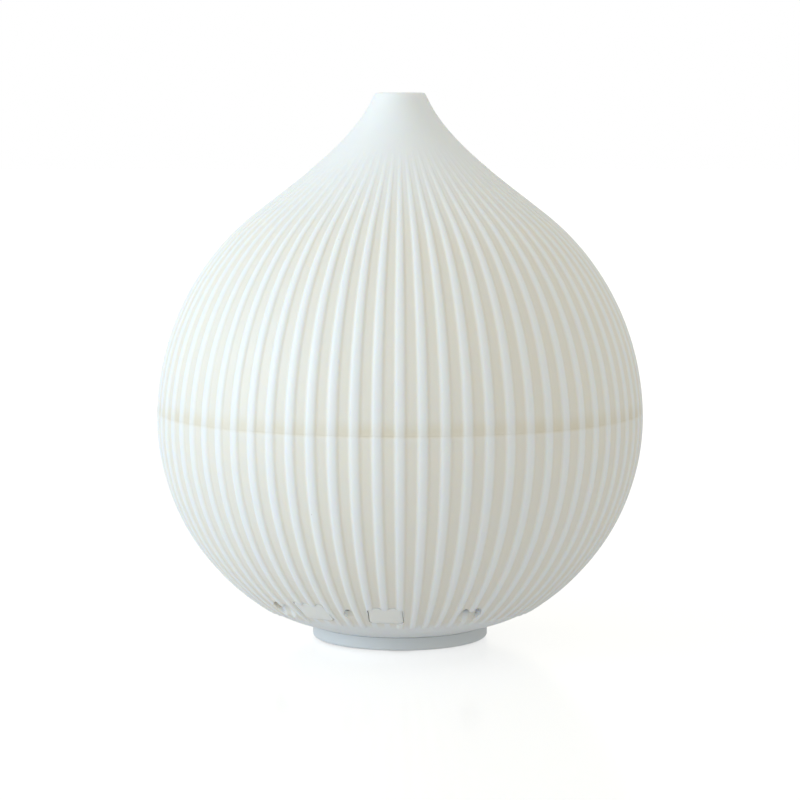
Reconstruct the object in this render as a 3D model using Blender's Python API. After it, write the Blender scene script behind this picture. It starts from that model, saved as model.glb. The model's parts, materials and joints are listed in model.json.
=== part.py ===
"""Cool mist humidifier, built the way it comes apart on a bench.

A ribbed onion-shaped case in two halves stands on a round foot. The upper half lifts off a water
tank, whose own cover carries the mist chimney. Under the tank sit an ultrasonic disc, a small fan
that blows through a duct into the tank, a driver board, two push buttons with their switches and a
power socket. Metres, +Z up, the front faces -Y, and the origin is on the table under the axis.
Angles run about +Z from the front towards +X.
"""

import math

import bmesh
import bpy
import numpy as np
from mathutils import Matrix, Vector

# Outer form of the case, measured over the ribs
BODY_RADIUS = 0.0840
WIDEST_Z = 0.0766
UPPER_RISE = 0.0881
LOWER_DROP = 0.0792
SHOULDER_TURN = math.radians(53.5)
SHOULDER_HANDLE = 0.0214
LIP_HANDLE = 0.0170
LIP_RADIUS = 0.0086
LIP_LEAN = math.radians(22.5)
LIP_ROUND = 0.0012
HEIGHT = 0.1886
SEAM_RISE = 0.0031
UNDERSIDE_Z = 0.0125
UNDERSIDE_SLOPE = math.radians(10)
UNDERSIDE_HANDLE = 0.0070
FOOT_RADIUS = 0.0304
FOOT_TOP = 0.0047
FOOT_EDGE = 0.0010
SHELL_WALL = 0.0026

# Ribs
RIB_COUNT = 72
RIB_DEPTH = 0.0009
RIB_TOP_Z = 0.1660
RIB_FADE = 0.0160
RIB_END_Z = 0.0117
RIB_END_FADE = 0.0015

# Clearances
GAP = 0.0003
SLIDE_GAP = 0.0006
SCREW_GAP = 0.0002
SHAFT_GAP = 0.0001

# Seat of the tank in the lower shell
LEDGE_DROP = 0.0054
LEDGE_WIDTH = 0.0030
LEDGE_HEIGHT = 0.0020
GASKET_HEIGHT = 0.0012

# Water tank
TANK_DEPTH = 0.0337
TANK_WALL = 0.0020
TANK_FLOOR = 0.0025
TANK_CORNER = 0.0090
FLANGE_HEIGHT = 0.0020
UPSTAND_HEIGHT = 0.0060
UPSTAND_WALL = 0.0022
BOSS_DROP = 0.0041
WELL_RADIUS = 0.0180
WELL_DROP = 0.0014
DUCT_WALL = 0.0020
DUCT_HEADROOM = 0.0040
PILLAR_RADIUS = 0.0032
PILLAR_PILOT_DEPTH = 0.0140

# Ultrasonic disc
DISC_RADIUS = 0.0100
DISC_THICK = 0.0012
SEAL_WALL = 0.0025
SEAL_LIP = 0.0014
SEAL_HEIGHT = 0.0035
BOSS_WALL = 0.0042
RETAINER_THICK = 0.0019
RETAINER_SCREWS = 3

# Fan
FAN_SIZE = 0.0300
FAN_THICK = 0.0100
FAN_RIM = 0.0012
FAN_STRUT = 0.0016
FAN_HUB_RADIUS = 0.0068
FAN_HUB_WALL = 0.0010
FAN_BLADES = 7
FAN_BLADE_THICK = 0.0009
FAN_BLADE_TILT = math.radians(40)
FAN_BLADE_SHARE = 0.8
FAN_TIP_GAP = 0.0008
FAN_SHAFT_RADIUS = 0.0009
BEARING_WALL = 0.0009
BEARING_TUBE_WALL = 0.0010
FAN_CLEARANCE = 0.0040

# Splash cover and chimney
COVER_RIM = 0.0020
COVER_WALL = 0.0018
DOME_RISE = 0.0150
CHIMNEY_FOOT = 0.0105
CHIMNEY_TIP = 0.0085
CHIMNEY_Z = 0.1500

# Base plate, feet and driver board
FOOT_RIM = 0.0020
PLATE_THICK = 0.0020
PAD_RADIUS = 0.0035
PAD_PROUD = 0.0004
GRILLE_SLOTS = 5
GRILLE_SLOT = 0.0018
GRILLE_PITCH = 0.0040
GRILLE_LENGTH = 0.0180
STANDOFF_RADIUS = 0.0024
STANDOFF_HEIGHT = 0.0080
STANDOFF_TURN = math.radians(34.5)
BOARD_THICK = 0.0016
BOARD_MARGIN = 0.0030

# Parts on the driver board, placed from its middle or in from its edges
COIL_SPOT = (-0.0080, 0.0020, 0)
COIL_RADIUS = 0.0055
COIL_WAIST = 0.0046
COIL_HEIGHT = 0.0090
COIL_LIP = 0.0012
CAPACITORS = ((-0.0010, 0.0030, 0.0090), (0.0070, 0.0026, 0.0070))
CAPACITOR_INSET = 0.0008
TRANSISTOR_X = 0.0060
TRANSISTOR_SIZE = (0.0100, 0.0044, 0.0090)
TRANSISTOR_INSET = 0.0086
SINK_SIZE = (0.0130, 0.0012, 0.0110)
FIN_COUNT = 5
FIN_PITCH = 0.0030
FIN_THICK = 0.0010
FIN_REACH = 0.0040

# Buttons, indicator and air intakes, all set square to the wall
BUTTON_TURNS = {"mist": math.radians(-5.0), "light": math.radians(-32.0)}
BUTTON_Z = 0.0161
BUTTON_WIDTH = 0.0112
BUTTON_LENGTH = 0.0100
BUTTON_CORNER = 0.0020
BUTTON_SUNK = 0.0005
BUTTON_FLANGE = 0.0010
BUTTON_TRAVEL = 0.0006
STEM_RADIUS = 0.0018
SWITCH_SIZE = 0.0060
SWITCH_HEIGHT = 0.0034
SWITCH_REACH = 0.0090
PLUNGER_RADIUS = 0.0016
PLUNGER_PROUD = 0.0010
SWITCH_POST = 0.0022
INDICATOR_TURN = math.radians(-18.4)
INDICATOR_Z = 0.0180
INDICATOR_RADIUS = 0.0011
INDICATOR_LENGTH = 0.0060
INTAKE_COUNT = 5
INTAKE_TURN = math.radians(25.0)
INTAKE_Z = 0.0156
INTAKE_WIDTH = 0.0084
INTAKE_LENGTH = 0.0086
INTAKE_DEPTH = 0.0033

# Power socket at the back
JACK_BELOW_FAN = 0.0012
JACK_BORE = 0.0032
JACK_WALL = 0.0010
JACK_BODY = 0.0090
JACK_LENGTH = 0.0120
JACK_BORE_DEPTH = 0.0072
JACK_BOSS = 0.0068
JACK_PIN_RADIUS = 0.0010
JACK_SUNK = 0.0035

# Mood light
LED_BOARD = (0.0340, 0.0080, 0.0012)
LED_SIZE = (0.0050, 0.0050, 0.0016)
LED_COUNT = 3
LED_DROP = 0.0030

# Screws
BASE_SHANK = 0.0014
BASE_HEAD = 0.0026
SMALL_SHANK = 0.0009
SMALL_HEAD = 0.0017
HEAD_HEIGHT = 0.0012
SWITCH_SHANK_LENGTH = 0.0040
BOARD_SHANK_LENGTH = 0.0050
FAN_HOLE_INSET = 0.0030

# Smoothness of round work, and rings of points along the case
WALL_FACETS = 36
DUCT_FACETS = 24
BOSS_FACETS = 18
ROD_FACETS = 16
POST_FACETS = 12
HOLE_FACETS = 8
SCREW_FACETS = 6
CURVE_STEPS = 80
CORE_STEP = 8
CORNER_STEPS = 3
DOME_STEPS = 4
UPPER_RINGS = 7
NECK_RINGS = 5
LINING_RINGS = 10
LOWER_RINGS = 6
UNDERSIDE_RINGS = 3
FLOOR_RINGS = 6
TANK_RINGS = 3
SHARP_TURN = math.radians(30)
SLOPE_STEP = 0.0005
ROUND_SHARE = 1 - math.sqrt(0.5)

# Places that follow from the sizes above
SEAM_Z = WIDEST_Z + SEAM_RISE
SHELL_BOTTOM = FOOT_TOP + GAP
LEDGE_Z = SEAM_Z - LEDGE_DROP
FLANGE_BOTTOM = LEDGE_Z + GAP + GASKET_HEIGHT + GAP
FLANGE_TOP = FLANGE_BOTTOM + FLANGE_HEIGHT
TANK_TOP = SEAM_Z + UPSTAND_HEIGHT
FLOOR_TOP = SEAM_Z - TANK_DEPTH
FLOOR_BOTTOM = FLOOR_TOP - TANK_FLOOR
BOSS_BOTTOM = FLOOR_BOTTOM - BOSS_DROP
SEAL_RADIUS = DISC_RADIUS + SEAL_WALL
THROAT_RADIUS = DISC_RADIUS - SEAL_LIP
BOSS_RADIUS = SEAL_RADIUS + GAP + BOSS_WALL
RETAINER_RING = SEAL_RADIUS + GAP + BOSS_WALL / 2
FAN_TOP = BOSS_BOTTOM - GAP
FAN_BOTTOM = FAN_TOP - FAN_THICK
FAN_BORE = FAN_SIZE / 2 - FAN_RIM
JACK_Z = FAN_BOTTOM - HEAD_HEIGHT - GAP - JACK_BELOW_FAN - JACK_BODY / 2
DUCT_BORE = FAN_BORE - DUCT_WALL
BEARING_RADIUS = FAN_SHAFT_RADIUS + SHAFT_GAP + BEARING_WALL
BEARING_TUBE_RADIUS = BEARING_RADIUS + GAP + BEARING_TUBE_WALL
BEARING_LOW = FAN_BOTTOM + FAN_STRUT + GAP
HUB_TOP = FAN_TOP - FAN_TIP_GAP
HUB_ROOF = HUB_TOP - FAN_HUB_WALL
HUB_LOW = FAN_BOTTOM + FAN_STRUT + FAN_TIP_GAP
BEARING_TOP = HUB_ROOF - FAN_TIP_GAP
PILLAR_RING = FOOT_RADIUS - FOOT_RIM - BASE_HEAD - GAP
PILLAR_SPOT = PILLAR_RING * math.sqrt(0.5)
PILLAR_REACH = PILLAR_RADIUS + SLIDE_GAP
PILLAR_ASIDE = min(max(PILLAR_SPOT - FAN_SIZE / 2, 0), PILLAR_REACH)
FAN_PAST_PILLARS = PILLAR_SPOT + math.sqrt(PILLAR_REACH**2 - PILLAR_ASIDE**2)
FAN_Y = max(BOSS_RADIUS + FAN_CLEARANCE, FAN_PAST_PILLARS) + FAN_SIZE / 2
HATCH_RADIUS = PILLAR_RING - PILLAR_RADIUS + GAP
PLATE_BOTTOM = FOOT_TOP - PLATE_THICK
BOARD_Z = FOOT_TOP + STANDOFF_HEIGHT + GAP
BOARD_TOP = BOARD_Z + BOARD_THICK
STANDOFF_RING = HATCH_RADIUS - STANDOFF_RADIUS - SLIDE_GAP * 2
INTAKE_SPACING = 2 * math.pi / INTAKE_COUNT
RIB_FACETS = 2 * RIB_COUNT

MATERIALS = {
    "case_white": ((0.88, 0.88, 0.86), 0.45, 0.0),
    "foot_grey": ((0.72, 0.76, 0.79), 0.40, 0.0),
    "button_white": ((0.93, 0.93, 0.92), 0.40, 0.0),
    "tank_white": ((0.86, 0.88, 0.88), 0.30, 0.0),
    "seal_silicone": ((0.80, 0.80, 0.78), 0.70, 0.0),
    "foot_rubber": ((0.22, 0.22, 0.23), 0.80, 0.0),
    "screw_steel": ((0.62, 0.62, 0.64), 0.30, 1.0),
    "board_green": ((0.05, 0.28, 0.14), 0.50, 0.0),
    "part_black": ((0.05, 0.05, 0.05), 0.45, 0.0),
    "ferrite_grey": ((0.16, 0.15, 0.15), 0.70, 0.0),
    "copper": ((0.72, 0.38, 0.20), 0.30, 1.0),
    "aluminium": ((0.75, 0.76, 0.77), 0.35, 1.0),
    "disc_ceramic": ((0.83, 0.79, 0.68), 0.35, 0.3),
    "brass": ((0.78, 0.62, 0.30), 0.30, 1.0),
    "lens_clear": ((0.85, 0.90, 0.88), 0.15, 0.0),
    "led_white": ((0.92, 0.90, 0.70), 0.30, 0.0),
}


# ---------------------------------------------------------------- outline of the case


def bezier(start, start_handle, end_handle, end):
    """Points along a cubic curve, both ends included."""
    t = np.linspace(0, 1, CURVE_STEPS)[:, None]
    one = 1 - t
    inner = 3 * one**2 * t * start_handle + 3 * one * t**2 * end_handle
    return one**3 * start + inner + t**3 * end


def ellipse(low_turn, high_turn, rise):
    """Points of the case's ellipse between two turns from its widest level."""
    turn = np.linspace(low_turn, high_turn, CURVE_STEPS)
    return np.stack([BODY_RADIUS * np.cos(turn), WIDEST_Z + rise * np.sin(turn)], axis=1)


def heading(one, two):
    """The unit direction from one point to another."""
    return (two - one) / np.linalg.norm(two - one)


def outline():
    """The outline over the ribs from the foot up to the lip, as rows of (radius, z)."""
    low_turn = math.asin((UNDERSIDE_Z - WIDEST_Z) / LOWER_DROP)
    lower = ellipse(low_turn, 0, LOWER_DROP)
    upper = ellipse(0, SHOULDER_TURN, UPPER_RISE)
    edge = np.array([FOOT_RADIUS, SHELL_BOTTOM])
    flat = np.array([math.cos(UNDERSIDE_SLOPE), math.sin(UNDERSIDE_SLOPE)])
    underside = bezier(
        edge,
        edge + UNDERSIDE_HANDLE * flat,
        lower[0] - UNDERSIDE_HANDLE * heading(lower[0], lower[1]),
        lower[0],
    )
    lip = np.array([LIP_RADIUS, HEIGHT])
    rising = np.array([-math.sin(LIP_LEAN), math.cos(LIP_LEAN)])
    neck = bezier(
        upper[-1],
        upper[-1] + SHOULDER_HANDLE * heading(upper[-2], upper[-1]),
        lip - LIP_HANDLE * rising,
        lip,
    )
    return np.concatenate([underside, lower[1:], upper[1:], neck[1:]])


def moved_in(points, depth):
    """The outline moved into the wall by a depth, square to itself."""
    along = np.gradient(points, axis=0)
    along /= np.linalg.norm(along, axis=1)[:, None]
    return points - depth * np.stack([along[:, 1], -along[:, 0]], axis=1)


OUTER = outline()
INNER = moved_in(OUTER, SHELL_WALL)


def outer_radius(z):
    return float(np.interp(z, OUTER[:, 1], OUTER[:, 0]))


def inner_radius(z):
    return float(np.interp(z, INNER[:, 1], INNER[:, 0]))


def span(low, high, count):
    """Heights between two levels, evenly spaced along the outline, both ends included."""
    length = np.concatenate([[0], np.cumsum(np.linalg.norm(np.diff(OUTER, axis=0), axis=1))])
    ends = np.interp([low, high], OUTER[:, 1], length)
    heights = np.interp(np.linspace(*ends, count + 1), length, OUTER[:, 1])
    heights[0], heights[-1] = low, high
    return [float(z) for z in heights]


def rib_depth(z):
    """How deep the grooves are at a height: they run out at the neck and above the foot."""
    upper = (RIB_TOP_Z - z) / RIB_FADE
    lower = (z - RIB_END_Z) / RIB_END_FADE
    return RIB_DEPTH * min(max(min(upper, lower), 0.0), 1.0)


def on_circle(turn, radius, z):
    """The point at a turn from the front, towards +X."""
    return Vector((radius * math.sin(turn), -radius * math.cos(turn), z))


def wall_frame(turn, z):
    """A frame on the wall: X runs round the case, Y up the slope and Z straight out."""
    across = outer_radius(z + SLOPE_STEP) - outer_radius(z - SLOPE_STEP)
    rise = Vector((across, 2 * SLOPE_STEP)).normalized()
    out = on_circle(turn, 1, 0)
    round_axis = Vector((math.cos(turn), math.sin(turn), 0))
    slope = out * rise[0] + Vector((0, 0, rise[1]))
    place = Matrix.Identity(4)
    for column, axis in enumerate((round_axis, slope, round_axis.cross(slope))):
        place.col[column] = axis.to_4d() * Vector((1, 1, 1, 0))
    place.translation = on_circle(turn, outer_radius(z), z)
    return place


def wall_drop(z, slope_offset):
    """How far the wall falls below its tangent plane at a distance along the slope."""
    place = wall_frame(0, z)
    lower = [place.inverted() @ on_circle(0, radius, height) for radius, height in OUTER]
    half = [point for point, (radius, height) in zip(lower, OUTER) if height < SEAM_Z]
    return float(np.interp(slope_offset, [p.y for p in half], [p.z for p in half]))


# ---------------------------------------------------------------- shape builders
# Each returns a function that adds one closed shape to a bmesh.


def ring(bm, row, place):
    """One ring of points. Every second point of a grooved ring is set in."""
    radius, z, facets, groove = row
    if radius == 0:
        return [bm.verts.new(place @ Vector((0, 0, z)))]
    return [
        bm.verts.new(place @ on_circle(2 * math.pi * n / facets, radius - groove * (n % 2), z))
        for n in range(facets)
    ]


def bridge(bm, one, two):
    """Faces between two rings, where one may have several times the points of the other."""
    if len(one) < len(two):
        one, two = two, one
    if len(one) == 1:
        return
    share = len(one) // len(two)
    for n in range(len(one)):
        near = (n + share // 2) // share % len(two)
        far = (n + 1 + share // 2) // share % len(two)
        corners = [one[n], one[(n + 1) % len(one)], two[far]]
        if near != far:
            corners.append(two[near])
        bm.faces.new(corners)


def lathe(rows, place=None):
    """A body turned about the local Z axis, from rows of (radius, z, facets, groove)."""

    def add(bm):
        rings = [ring(bm, row, place or Matrix.Identity(4)) for row in rows]
        for one, two in zip(rings, rings[1:] + rings[:1]):
            bridge(bm, one, two)

    return add


def turned(points, facets=WALL_FACETS, place=None):
    """A plain turned body, from (radius, z) points round its section."""
    return lathe([(radius, z, facets, 0) for radius, z in points], place)


def rod(radius, start, end, facets=ROD_FACETS):
    """A cylinder between two points."""

    def add(bm):
        axis = Vector(end) - Vector(start)
        turn = axis.to_track_quat("Z", "Y").to_matrix().to_4x4()
        place = Matrix.Translation((Vector(start) + Vector(end)) / 2) @ turn
        bmesh.ops.create_cone(
            bm,
            cap_ends=True,
            segments=facets,
            radius1=radius,
            radius2=radius,
            depth=axis.length,
            matrix=place,
        )

    return add


def block(size, centre, place=None):
    """A box by its size and centre, in a local frame if one is given."""

    def add(bm):
        local = Matrix.Translation(centre) @ Matrix.Diagonal((*size, 1))
        bmesh.ops.create_cube(bm, size=1, matrix=(place or Matrix.Identity(4)) @ local)

    return add


def prism(outline_points, low, high, place):
    """A polygon in the local XY plane, extruded from one height to another."""

    def add(bm):
        ends = [
            [bm.verts.new(place @ Vector((x, y, height))) for x, y in outline_points]
            for height in (low, high)
        ]
        for end in ends:
            bm.faces.new(end)
        for n in range(len(outline_points)):
            after = (n + 1) % len(outline_points)
            bm.faces.new([ends[0][n], ends[0][after], ends[1][after], ends[1][n]])

    return add


def slab(width, length, corner, low, high, place):
    """A rounded rectangle in the local XY plane, extruded from one height to another."""
    points = []
    for quarter in range(4):
        side_x = 1 if quarter in (0, 3) else -1
        side_y = 1 if quarter in (0, 1) else -1
        for step in range(CORNER_STEPS + 1):
            turn = (quarter + step / CORNER_STEPS) * math.pi / 2
            x = side_x * (width / 2 - corner) + corner * math.cos(turn)
            y = side_y * (length / 2 - corner) + corner * math.sin(turn)
            points.append((x, y))
    return prism(points, low, high, place)


# ---------------------------------------------------------------- objects


def clear_scene():
    for thing in list(bpy.data.objects):
        bpy.data.objects.remove(thing)


def make_material(name):
    """A plain Principled material from its colour, roughness and metallic value."""
    colour, roughness, metallic = MATERIALS[name]
    material = bpy.data.materials.new(name)
    material.use_nodes = True
    shader = material.node_tree.nodes["Principled BSDF"]
    shader.inputs["Base Color"].default_value = (*colour, 1)
    shader.inputs["Roughness"].default_value = roughness
    shader.inputs["Metallic"].default_value = metallic
    return material


def make_mesh(name, shapes, origin):
    """One mesh from several shapes, with its points counted from the origin."""
    bm = bmesh.new()
    for shape in shapes:
        shape(bm)
    bmesh.ops.recalc_face_normals(bm, faces=bm.faces)
    bmesh.ops.translate(bm, verts=bm.verts, vec=-Vector(origin))
    mesh = bpy.data.meshes.new(name)
    bm.to_mesh(mesh)
    bm.free()
    mesh.shade_smooth()
    mesh.set_sharp_from_angle(angle=SHARP_TURN)
    return mesh


def place_object(name, mesh, origin):
    thing = bpy.data.objects.new(name, mesh)
    thing.location = origin
    bpy.context.scene.collection.objects.link(thing)
    return thing


def piece(name, material, *shapes, origin=(0, 0, 0)):
    """A finished sub-part. A moving one has its origin on its joint's axis."""
    thing = place_object(name, make_mesh(name, shapes, origin), origin)
    thing.data.materials.append(bpy.data.materials.get(material) or make_material(material))
    return thing


def helper(name, *shapes):
    """A shape that only joins or cuts another, so it is hidden."""
    thing = place_object(name, make_mesh(name, shapes, (0, 0, 0)), (0, 0, 0))
    thing.hide_render = True
    thing.display_type = "WIRE"
    return thing


def combine(target, operation, other):
    """Adds, cuts or intersects with another object."""
    modifier = target.modifiers.new(other.name, "BOOLEAN")
    modifier.operation = operation
    modifier.solver = "EXACT"
    modifier.object = other


def join(target, label, *shapes):
    """Adds shapes one at a time, because they may overlap each other."""
    for n, shape in enumerate(shapes, 1):
        combine(target, "UNION", helper(f"{label}_{n}", shape))


def cut(target, label, *shapes):
    """Cuts shapes that stay clear of each other."""
    combine(target, "DIFFERENCE", helper(label, *shapes))


def screw(name, under_head, tip, shank, head, head_height):
    """A pan-head screw from the seat under its head to its tip."""
    start = Vector(under_head)
    axis = Vector(tip) - start
    place = Matrix.Translation(start) @ axis.to_track_quat("Z", "Y").to_matrix().to_4x4()
    points = [
        (0, axis.length),
        (shank, axis.length - shank),
        (shank, 0),
        (head, 0),
        (head, -head_height / 2),
        (0, -head_height),
    ]
    piece(name, "screw_steel", turned(points, SCREW_FACETS, place))


# ---------------------------------------------------------------- case


def top_cover():
    """The upper half of the case: ribbed outside, plain inside, open at the lip."""
    bottom = SEAM_Z + GAP / 2
    neck = span(RIB_TOP_Z, HEIGHT - LIP_ROUND, NECK_RINGS)
    ribbed = span(bottom, RIB_TOP_Z, UPPER_RINGS)[:-1]
    inside = span(bottom, HEIGHT, LINING_RINGS)
    rows = [(LIP_RADIUS - LIP_ROUND, HEIGHT, WALL_FACETS, 0)]
    rows += [(outer_radius(z), z, WALL_FACETS, 0) for z in reversed(neck)]
    rows += [(outer_radius(z), z, RIB_FACETS, rib_depth(z)) for z in reversed(ribbed)]
    rows += [(inner_radius(z), z, WALL_FACETS, 0) for z in inside]
    piece("top_cover", "case_white", lathe(rows), origin=(0, 0, SEAM_Z))


def shell_rows():
    """The lower half of the case from its rim, down the outside and up the inside."""
    rim = SEAM_Z - GAP / 2
    rib_levels = span(RIB_END_Z + RIB_END_FADE, rim, LOWER_RINGS)
    below = span(SHELL_BOTTOM, RIB_END_Z, UNDERSIDE_RINGS)
    floor = SHELL_BOTTOM + SHELL_WALL
    ledge_radius = inner_radius(LEDGE_Z) - LEDGE_WIDTH
    ledge_foot = LEDGE_Z - LEDGE_HEIGHT
    inside = span(floor, ledge_foot - LEDGE_WIDTH, FLOOR_RINGS)
    rows = [(outer_radius(z), z, RIB_FACETS, rib_depth(z)) for z in reversed(rib_levels)]
    rows += [(outer_radius(z), z, WALL_FACETS, 0) for z in reversed(below)]
    plain = [(HATCH_RADIUS, SHELL_BOTTOM), (HATCH_RADIUS, floor)]
    plain += [(inner_radius(z), z) for z in inside]
    plain += [
        (ledge_radius, ledge_foot),
        (ledge_radius, LEDGE_Z),
        (inner_radius(LEDGE_Z), LEDGE_Z),
        (inner_radius(rim), rim),
    ]
    return rows + [(radius, z, WALL_FACETS, 0) for radius, z in plain]


def intake_cutter(turn):
    """A wedge that fades out downwards and breaks through the wall at its top."""
    place = wall_frame(turn, INTAKE_Z) @ Matrix.Rotation(math.pi / 2, 4, "Y")
    half = INTAKE_LENGTH / 2
    proud = RIB_DEPTH * 2
    side = [(-proud, half), (INTAKE_DEPTH, half), (RIB_DEPTH, -half), (-proud, -half)]
    return prism(side, -INTAKE_WIDTH / 2, INTAKE_WIDTH / 2, place)


def switch_posts(turn):
    """The two posts on the wall's inside that carry a switch board."""
    place = wall_frame(turn, BUTTON_Z)
    end = -post_end()
    for side in (1, -1):
        offset = side * post_offset()
        start = wall_drop(BUTTON_Z, offset) - (SHELL_WALL + RIB_DEPTH) / 2
        yield place @ Vector((0, offset, start)), place @ Vector((0, offset, end))


def post_offset():
    """How far the posts stand from the button's middle, clear of its flange."""
    return BUTTON_LENGTH / 2 + BUTTON_FLANGE + SLIDE_GAP + SWITCH_POST


def post_end():
    """The depth of the switch board's outer face, less the gap to it."""
    return SWITCH_REACH + SWITCH_HEIGHT - GAP


def jack_face():
    """Where the socket's mouth lies, a little inside the wall."""
    return outer_radius(JACK_Z) - JACK_SUNK


def jack_seat():
    """The flat inner face of the socket's boss, just inside the wall's lowest part there."""
    return inner_radius(JACK_Z - JACK_BOSS) - GAP


def lower_shell():
    """The lower half of the case with its seats, posts, socket boss and openings."""
    shell = piece("lower_shell", "case_white", lathe(shell_rows()))
    posts = [rod(SWITCH_POST, *ends) for turn in BUTTON_TURNS.values() for ends in switch_posts(turn)]
    join(shell, "switch_post", *posts)

    middle = moved_in(OUTER, (SHELL_WALL + RIB_DEPTH) / 2)
    core = [(float(r), float(z)) for r, z in middle[::CORE_STEP] if z < SEAM_Z]
    core = [(0, core[0][1])] + core + [(0, core[-1][1])]
    boss = helper("socket_boss", rod(JACK_BOSS, (0, jack_seat(), JACK_Z), (0, BODY_RADIUS, JACK_Z)))
    combine(boss, "INTERSECT", helper("wall_core", turned(core)))
    combine(shell, "UNION", boss)

    holes = []
    for turn in BUTTON_TURNS.values():
        place = wall_frame(turn, BUTTON_Z)
        width, length = BUTTON_WIDTH + 2 * GAP, BUTTON_LENGTH + 2 * GAP
        depth = SHELL_WALL + RIB_DEPTH + 2 * BUTTON_FLANGE
        holes.append(slab(width, length, BUTTON_CORNER + GAP, -depth, SHELL_WALL, place))
    place = wall_frame(INDICATOR_TURN, INDICATOR_Z)
    deep, proud = Vector((0, 0, -SHELL_WALL * 2)), Vector((0, 0, SHELL_WALL))
    holes.append(rod(INDICATOR_RADIUS + SCREW_GAP, place @ deep, place @ proud, HOLE_FACETS))
    socket = JACK_BORE + JACK_WALL + GAP
    beyond = (0, BODY_RADIUS, JACK_Z)
    holes.append(rod(socket, (0, jack_seat() - SHELL_WALL, JACK_Z), beyond))
    for n in range(INTAKE_COUNT):
        holes.append(intake_cutter(INTAKE_TURN + n * INTAKE_SPACING))
    for spot in pillar_spots():
        low, high = SHELL_BOTTOM - SHELL_WALL, SHELL_BOTTOM + 2 * SHELL_WALL
        holes.append(rod(BASE_SHANK + SCREW_GAP, (*spot, low), (*spot, high), HOLE_FACETS))
    cut(shell, "shell_openings", *holes)

    pilots = []
    for turn in BUTTON_TURNS.values():
        for start, end in switch_posts(turn):
            inward = (end - start).normalized()
            pilot_start = end - inward * (SWITCH_SHANK_LENGTH + SCREW_GAP)
            pilots.append(
                rod(SMALL_SHANK + SCREW_GAP, pilot_start, end + inward * GAP, HOLE_FACETS)
            )
    cut(shell, "post_pilots", *pilots)


# ---------------------------------------------------------------- tank and its cover


def pillar_spots():
    """Where the four long screws run, between the hatch and the foot's rim."""
    for n in range(4):
        spot = on_circle(math.radians(45 + 90 * n), PILLAR_RING, 0)
        yield spot.x, spot.y


def tank_outer(z):
    """The tank's outer radius, clear of the shell's ledge and wall."""
    return inner_radius(z) - LEDGE_WIDTH - SLIDE_GAP


def tank_section():
    """The bowl from the top of its upstand, down the outside and up the inside."""
    upstand = inner_radius(TANK_TOP) - SLIDE_GAP
    flange = inner_radius(FLANGE_TOP) - SLIDE_GAP
    corner = FLOOR_BOTTOM + TANK_CORNER
    bevel = TANK_CORNER * ROUND_SHARE
    sides = span(corner, LEDGE_Z - LEDGE_HEIGHT, TANK_RINGS)
    neck = tank_outer(LEDGE_Z)
    section = [(upstand, TANK_TOP), (upstand, FLANGE_TOP), (flange, FLANGE_TOP)]
    section += [(flange, FLANGE_BOTTOM), (neck, FLANGE_BOTTOM)]
    section += [(tank_outer(z), z) for z in reversed(sides)]
    turn = tank_outer(corner)
    section += [
        (turn - bevel, FLOOR_BOTTOM + bevel),
        (turn - TANK_CORNER, FLOOR_BOTTOM),
        (BOSS_RADIUS, FLOOR_BOTTOM),
        (BOSS_RADIUS, BOSS_BOTTOM),
        (SEAL_RADIUS + GAP, BOSS_BOTTOM),
        (SEAL_RADIUS + GAP, FLOOR_BOTTOM),
        (THROAT_RADIUS, FLOOR_BOTTOM),
        (THROAT_RADIUS, FLOOR_TOP - WELL_DROP),
        (WELL_RADIUS, FLOOR_TOP),
        (turn - TANK_CORNER, FLOOR_TOP),
        (turn - bevel - TANK_WALL, FLOOR_TOP + bevel),
    ]
    section += [(tank_outer(z) - TANK_WALL, z) for z in sides]
    section += [
        (neck - TANK_WALL, FLANGE_TOP),
        (upstand - UPSTAND_WALL, FLANGE_TOP),
        (upstand - UPSTAND_WALL, TANK_TOP),
    ]
    return section


def fan_corners(inset):
    """The four corners of the fan's frame, moved in by an inset."""
    reach = FAN_SIZE / 2 - inset
    for x in (-reach, reach):
        for y in (-reach, reach):
            yield x, FAN_Y + y


def retainer_spots():
    for n in range(RETAINER_SCREWS):
        spot = on_circle(math.radians(360 / RETAINER_SCREWS * n), RETAINER_RING, 0)
        yield spot.x, spot.y


def water_tank():
    """The bowl with the disc's boss, the fan's pad and duct, and four screw pillars."""
    rows = [
        (radius, z, WALL_FACETS if radius > BOSS_RADIUS + GAP else BOSS_FACETS, 0)
        for radius, z in tank_section()
    ]
    tank = piece("water_tank", "tank_white", lathe(rows))
    middle = FLOOR_BOTTOM + TANK_FLOOR / 2
    pad_height = middle - BOSS_BOTTOM
    pad = block((FAN_SIZE, FAN_SIZE, pad_height), (0, FAN_Y, BOSS_BOTTOM + pad_height / 2))
    duct_top = FLANGE_TOP - DUCT_HEADROOM
    duct = rod(DUCT_BORE + DUCT_WALL, (0, FAN_Y, middle), (0, FAN_Y, duct_top), DUCT_FACETS)
    foot = SHELL_BOTTOM + SHELL_WALL + GAP
    pillars = [
        rod(PILLAR_RADIUS, (x, y, foot), (x, y, middle), POST_FACETS) for x, y in pillar_spots()
    ]
    join(tank, "tank_feature", pad, duct, *pillars)
    ends = (0, FAN_Y, BOSS_BOTTOM - GAP), (0, FAN_Y, duct_top + GAP)
    holes = [rod(DUCT_BORE, *ends, DUCT_FACETS)]
    for x, y in pillar_spots():
        top = foot + PILLAR_PILOT_DEPTH
        holes.append(rod(BASE_SHANK + SCREW_GAP, (x, y, foot - GAP), (x, y, top), HOLE_FACETS))
    pilot = SMALL_SHANK + SCREW_GAP
    for x, y in [*fan_corners(FAN_HOLE_INSET), *retainer_spots()]:
        ends = (x, y, BOSS_BOTTOM - GAP), (x, y, FLOOR_BOTTOM)
        holes.append(rod(pilot, *ends, HOLE_FACETS))
    cut(tank, "tank_holes", *holes)


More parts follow.
